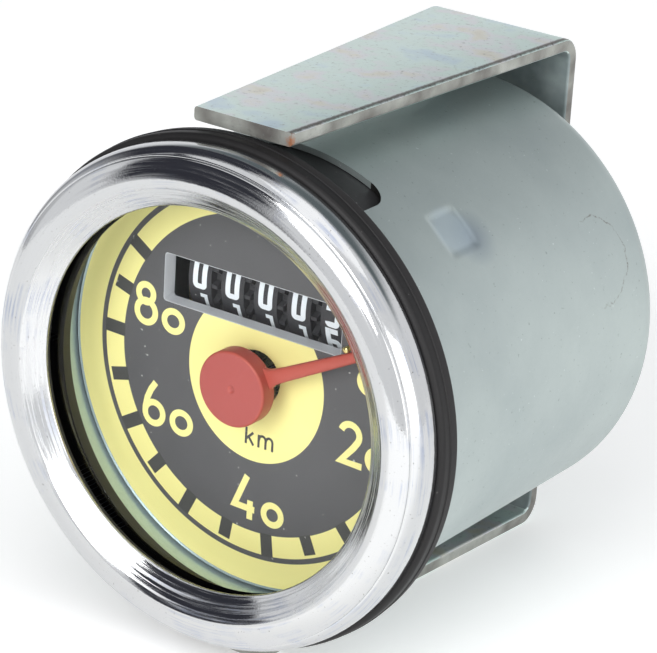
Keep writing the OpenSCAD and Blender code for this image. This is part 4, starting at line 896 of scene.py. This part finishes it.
many = addNode(tickRing, "GeometryNodeInstanceOnPoints", {"Points": points, "Instance": block,
                                                          "Rotation": turnBy})
closeTree(tickRing, many, given["Ink"])
common = {name.title(): math.radians(ticks[name]) for name in ("first", "step", "stretch")}
common.update({"Inner": ticks["inner"] * mm, "Width": ticks["width"] * mm, "Ink": blackInk})
for name, count, begin, outer in (("dialTicks", ticks["count"], 0.0, ticks["fullOuter"]),
                                  ("dialHalfTicks", ticks["count"] - 1, 0.5, ticks["halfOuter"])):
    mount(grown(name, tickRing, {**common, "Count": count, "Begin": begin, "Outer": outer * mm}), "dial_enamel")
print("dial printed")

# pointer: pressed hub with a centre dimple, and an arm whose root flares into the hub
pointer = {"hub": 5.05, "front": -55.3, "rear": -52.8, "armFront": -54.0, "armRear": -53.1, "crown": 0.3,
           "angle": 27.2, "edge": 0.35, "dimple": 0.6, "dimpleDeep": 0.22, "bossR": 2.0, "boreR": 0.6,
           "bossLong": 1.5, "boreDeep": 0.9, "arm": ((3.6, 2.3), (4.6, 1.62), (5.3, 1.15), (6.2, 0.98),
                                                     (8.0, 0.9), (20.4, 0.66), (21.2, 0.42), (21.5, 0.15))}
hub, front, rear, edge, dimple, deep = sizes(pointer, "hub front rear edge dimple dimpleDeep")
bossR, boreR, bossLong, boreDeep = sizes(pointer, "bossR boreR bossLong boreDeep")
armFront, armRear = sizes(pointer, "armFront armRear")
outline = [(0, front + deep)] + arcPoints((0, front), (dimple * 0.8, deep), 80, 10, 5)
outline += [(dimple, front - 0.02), (dimple + 0.2, front)]
outline += arcPoints((hub - edge, front + edge), edge, -90, 0, 6)
outline += [(hub, rear - 0.15), (hub - 0.15, rear), (bossR, rear), (bossR, rear + bossLong),
            (boreR, rear + bossLong), (boreR, front + boreDeep), (0, front + boreDeep)]
verts, faces = turned(outline, 128)
a = math.radians(pointer["angle"])
start, stations = len(verts), len(pointer["arm"])
for u, halfWidth in pointer["arm"]:
    section = [(halfWidth, armRear)]
    section += [(halfWidth * math.cos(b), armFront + pointer["crown"] * (1 - math.sin(b)))
                for b in np.radians(np.linspace(0, 180, 9))]
    section += [(-halfWidth, armRear)]
    verts += [(u * math.cos(a) - v * math.sin(a), y, u * math.sin(a) + v * math.cos(a)) for v, y in section]
faces += caps(len(section), stations, start) + skin(len(section), stations, start)


def pointerCoat(centre, normal):
    return int(normal.y < -0.9 and math.hypot(centre.x, centre.z) < hub - 0.3 and centre.y < -55)


mount(makePiece("redPointer", verts, faces, [redPaint, redHub], 40, pointerCoat), "pointer_red", "pointer",
      body="pointer")

# small brass pin with a domed head
pin = {"angle": 30.9, "reach": 18.6, "radius": 0.42, "head": 0.47, "dome": 0.32, "foot": -49.3, "top": -54.1}
radius, head, dome, foot, reach = sizes(pin, "radius head dome foot reach")
domeY = pin["top"] + dome
outline = [(radius, foot), (radius, domeY + 0.15), (head, domeY + 0.1)]
outline += arcPoints((0, domeY), (head, dome), 0, -90, 8) + [(0, foot)]
verts, faces = turned(outline, 32)
a = math.radians(pin["angle"])
verts = [(x + reach * math.cos(a), y, z + reach * math.sin(a)) for x, y, z in verts]
mount(makePiece("stopPin", verts, faces, [turnedBrass], 40), "brass", "stop_pin")
print("pointer made")

# white digits printed round the five wheels of the distance counter
digits = {"axleY": -39.9, "axleZ": 9.65, "radius": 7.5, "first": -11.4, "pitch": 5.2, "halfW": 0.715,
          "halfH": 1.88, "corner": 0.34, "stroke": 0.75, "high": 0.03, "lift": 6.0, "lastDigit": 5,
          "lastLift": 10.0, "part": 0.3}
w, h, c = sizes(digits, "halfW halfH corner")
right, left, top, low = w - c, c - w, h - c, c - h


def bend(x, z, start, stop):
    return arcPoints((x, z), c, start, stop, 6)


crown = bend(left, top, 180, 90) + bend(right, top, 90, 0)
foot = bend(right, low, 0, -90) + bend(left, low, -90, -180)
shapes = {
    0: [(roundedBox(left, right, low, top, c, 6), True)],
    1: [([(-0.05, h - 0.35), (0.78, h - 0.35), (0.78, -h - 0.3)], False, 0.55)],
    2: [([(-w, top - 0.2)] + crown + [(w, 0.5), (-w, -h + 0.35), (-w, -h), (w + 0.3, -h)], False)],
    3: [([(-w, top)] + crown + bend(right, c, 0, -90) + [(-0.2, 0)], False),
        (bend(right, -c, 90, 0) + foot, False)],
    4: [([(0.3, h + 0.3), (-w - 0.1, -0.7), (w + 0.3, -0.7)], False), ([(0.35, 0.4), (0.35, -h - 0.3)], False)],
    5: [([(w + 0.1, h), (-w, h), (-w, 0.25), (right, 0.25)] + bend(right, 0.25 - c, 80, 0) + foot, False)],
    6: [([(w + 0.1, h), (-w, h)] + bend(left, low, 180, 270) + bend(right, low, 270, 360) + bend(right,
                                                                                                 0.3 - c, 0, 90)
         + [(-w, 0.3)], False)],
    7: [([(-w - 0.2, h), (w, h), (-0.3, -h - 0.3)], False)],
    8: [(roundedBox(left, right, c, top, c, 6), True), (roundedBox(left, right, low, -c, c, 6), True)],
    9: [([(w, -0.3), (left, -0.3)] + bend(left, c - 0.3, 270, 180) + crown + bend(right, low, 0, -90)
         + bend(left, low, -90, -160), False)],
}


def finer(points, closed):
    # extra points, so that straight strokes follow the wheel
    out = []
    count = len(points)
    for i in range(count if closed else count - 1):
        a, b = np.array(points[i]), np.array(points[(i + 1) % count])
        span = float(np.linalg.norm(b - a))
        if span > 1e-6:
            parts = max(1, math.ceil(span / digits["part"]))
            out += [tuple(a + (b - a) * k / parts) for k in range(parts)]
    return out if closed else out + [tuple(points[-1])]


for wheel in range(1, 6):
    centre = digits["first"] + (wheel - 1) * digits["pitch"]
    shown, lift = (digits["lastDigit"], digits["lastLift"]) if wheel == 5 else (0, digits["lift"])
    strokes = []
    for figure, lines in shapes.items():
        shift = math.radians(lift + 36 * (shown - figure)) * digits["radius"]
        strokes += [([(u, v + shift) for u, v in finer(points, closed)], closed, *own) for points, closed,
                    *own in lines]

    def onWheel(u, v, height):
        around = v / digits["radius"]
        reach = digits["radius"] + height
        return (centre + u, digits["axleY"] - reach * math.cos(around),
                digits["axleZ"] + reach * math.sin(around))

    piece = inkPiece("wheelDigits%d" % wheel, strokes, digits["stroke"], whiteInk, onWheel, digits["high"])
    mount(piece, "white_plastic", body="wheel_%d" % wheel)
print("counter digits made")

# bracket: one bent strip, wider at the web, sheared at its edges
bracket = {"outerZ": 35.75, "sheet": 1.8, "tipY": -55.5, "webOut": 5.2, "bend": 3.4, "tipHalf": 7.4,
           "webHalf": 10.8, "hole": 9.0, "studHole": 2.8, "studZ": 17.0, "edge": 0.42}
outerZ, webOut, bendR, tipY, tipHalf, edge = sizes(bracket, "outerZ webOut bend tipY tipHalf edge")
half = bracket["sheet"] / 2
middleR, midZ, midY, bendY, bendZ = bendR - half, outerZ - half, webOut - half, webOut - bendR, outerZ - bendR
path = [(y, midZ) for y in np.linspace(tipY, bendY, 40)]
path += arcPoints((bendY, bendZ), middleR, 90, 0, 12)[1:]
path += [(midY, z) for z in np.linspace(bendZ, -bendZ, 24)[1:]]
path += arcPoints((bendY, -bendZ), middleR, 0, -90, 12)[1:]
path += [(y, -midZ) for y in np.linspace(bendY, tipY, 40)[1:]]
verts = []
for i, (y, z) in enumerate(path):
    before, after = path[max(i - 1, 0)], path[min(i + 1, len(path) - 1)]
    way = np.array([after[0] - before[0], after[1] - before[1]])
    way /= np.linalg.norm(way)
    out = np.array([-way[1], way[0]])
    share = min(max((y - tipY) / (bendY - tipY), 0), 1)
    x, t = tipHalf + (bracket["webHalf"] - tipHalf) * share - edge, half - edge
    section = roundedBox(-x, x, -t, t, edge, 3)
    verts += [(u, y + out[0] * t, z + out[1] * t) for u, t in section]
faces = skin(len(section), len(path)) + caps(len(section), len(path))


def stripFace(centre, normal):
    # one for the cut sides and ends, two for the inside of the web, a darker copy that is painted shade
    if abs(normal.x) > 0.9 or (normal.y < -0.9 and centre.y < tipY + 0.1):
        return 1
    return 2 if normal.y < -0.5 and centre.y > 0 else 0


piece = makePiece("clampBracket", verts, faces, [passivatedZinc, shearedEdge, paintedShadeZinc], 35, stripFace)
tools = [barPiece("webTool", bracket["hole"], 1, 8)]
tools += [barPiece("studTool", bracket["studHole"], 1, 8, s * bracket["studZ"], 48) for s in (-1, 1)]
carve(piece, tools, sharp=35)
mount(piece, "passivated_zinc", "bracket", body="bracket")

# chamfered nuts
nut = {"flats": 8.0, "front": 6.4, "thick": 4.0, "hole": 2.55, "studZ": 17.0, "face": 3.85, "corner": 4.75,
       "chamfer": 0.5}
face, corner, chamfer = sizes(nut, "face corner chamfer")
y0, y1 = nut["front"], nut["front"] + nut["thick"]
reach = nut["flats"] / math.sqrt(3)
for name, z in (("nut_upper", nut["studZ"]), ("nut_lower", -nut["studZ"])):
    hexagon = arcPoints((0, z), reach, 0, 300, 5)
    piece = makePiece(name + "Detail", looped([(hexagon, y0), (hexagon, y1)]), caps(6, 2) + skin(6, 2),
                      [platedSteel], 20)
    verts, faces = turned([(0, y0 - 0.01), (face, y0 - 0.01), (corner, y0 + chamfer), (corner, y1 - chamfer),
                           (face, y1 + 0.01), (0, y1 + 0.01)], 96)
    carve(piece, [makePiece("chamferTool", [(x, y, vz + z) for x, y, vz in verts], faces)], "INTERSECT", 20)
    carve(piece, [barPiece("boreTool", nut["hole"], 5, 12, z, 48)], sharp=20)
    mount(piece, "passivated_zinc", name, body=name)
print("bracket and nuts made")

# screw threads: a helical groove is cut out of a copy of the turned part
threadCut, given = newTree("threadGroove", "Turns Radius Length Groove", Coat="Material")
helix = addNode(threadCut, "GeometryNodeCurveSpiral", {
    "Resolution": 40, "Rotations": given["Turns"], "Start Radius": given["Radius"],
    "End Radius": given["Radius"], "Height": given["Length"]})
upright = addNode(threadCut, "GeometryNodeSetCurveNormal", {"Curve": helix}, mode="Z_UP")
diamond = addNode(threadCut, "GeometryNodeCurvePrimitiveCircle", {"Resolution": 4, "Radius": given["Groove"]})
groove = addNode(threadCut, "GeometryNodeCurveToMesh", {
    "Curve": upright, "Profile Curve": diamond, "Fill Caps": True})
closeTree(threadCut, groove, given["Coat"])
threads = {
    "neckThread": {"node": "base_casting", "radius": 6.0, "pitch": 1.0, "start": 6.5, "stop": 14.6,
                   "at": (0.0,), "coat": castZinc, "slot": "cast_zinc"},
    "studThreads": {"node": "clamp_studs", "radius": 2.5, "pitch": 0.8, "start": 5.6, "stop": 0.0,
                    "at": (-17.0, 17.0), "coat": platedSteel, "slot": "passivated_zinc"},
}
for name, thread in threads.items():
    radius, pitch = sizes(thread, "radius pitch")
    low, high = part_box(thread["node"])
    start, stop = thread["start"], thread["stop"] or high[1] / mm + 0.6
    mesh = frame["nodes"][thread["node"]].data.copy()
    work = bmesh.new()
    work.from_mesh(mesh)
    bmesh.ops.remove_doubles(work, verts=work.verts, dist=1e-6)
    work.to_mesh(mesh)
    work.free()
    mesh.materials.clear()
    mesh.materials.append(thread["coat"])
    piece = placed(name, mesh)
    tools = []
    for z in thread["at"]:
        tool = grown("grooveTool", threadCut, {
            "Turns": (stop - start) / pitch, "Radius": radius * mm, "Length": (stop - start) * mm,
            "Groove": pitch * 0.46 * mm, "Coat": thread["coat"]})
        tool.data.transform(Matrix.Translation((0, start * mm, z * mm)) @ Matrix.Rotation(-math.pi / 2, 4, "X"))
        tools.append(tool)
    carve(piece, tools, sharp=30)
    # flat ends are shaded flat, and the plain shank beside the cut keeps round normals
    mesh = piece.data
    for face in mesh.polygons:
        if abs(face.normal.y) > 0.999:
            face.use_smooth = False
    normals = [corner.vector.copy() for corner in mesh.corner_normals]
    for face in mesh.polygons:
        for z in thread["at"]:
            outward = Vector((face.center.x, 0.0, face.center.z - z * mm))
            if 0.97 < outward.length / (radius * mm) < 1.01 and face.normal.dot(outward.normalized()) > 0.99:
                for k in face.loop_indices:
                    corner = mesh.vertices[mesh.loops[k].vertex_index].co
                    normals[k] = Vector((corner.x, 0.0, corner.z - z * mm)).normalized()
    mesh.normals_split_custom_set(normals)
    mount(piece, thread["slot"], thread["node"])
print("threads cut")

# finishes of the CAD nodes that show as they are
finishes = {
    "bright_steel": turnedSteel, "brass": turnedBrass, "bronze": sinteredBronze, "cup_aluminium": spunAluminium,
    "keeper_iron": softIron, "magnet_alloy": magnetAlloy, "cast_zinc": castZinc, "black_plastic": blackPlastic,
    "white_plastic": whitePlastic, "passivated_zinc": platedSteel, "grey_paint": greyPaint,
    "case_zinc": zincSheet,
}
for part in frame["record"]["subparts"]:
    if part["material_slot"] in finishes:
        for materialSlot in frame["nodes"][part["node"]].material_slots:
            materialSlot.material = finishes[part["material_slot"]]
print("finishes given")
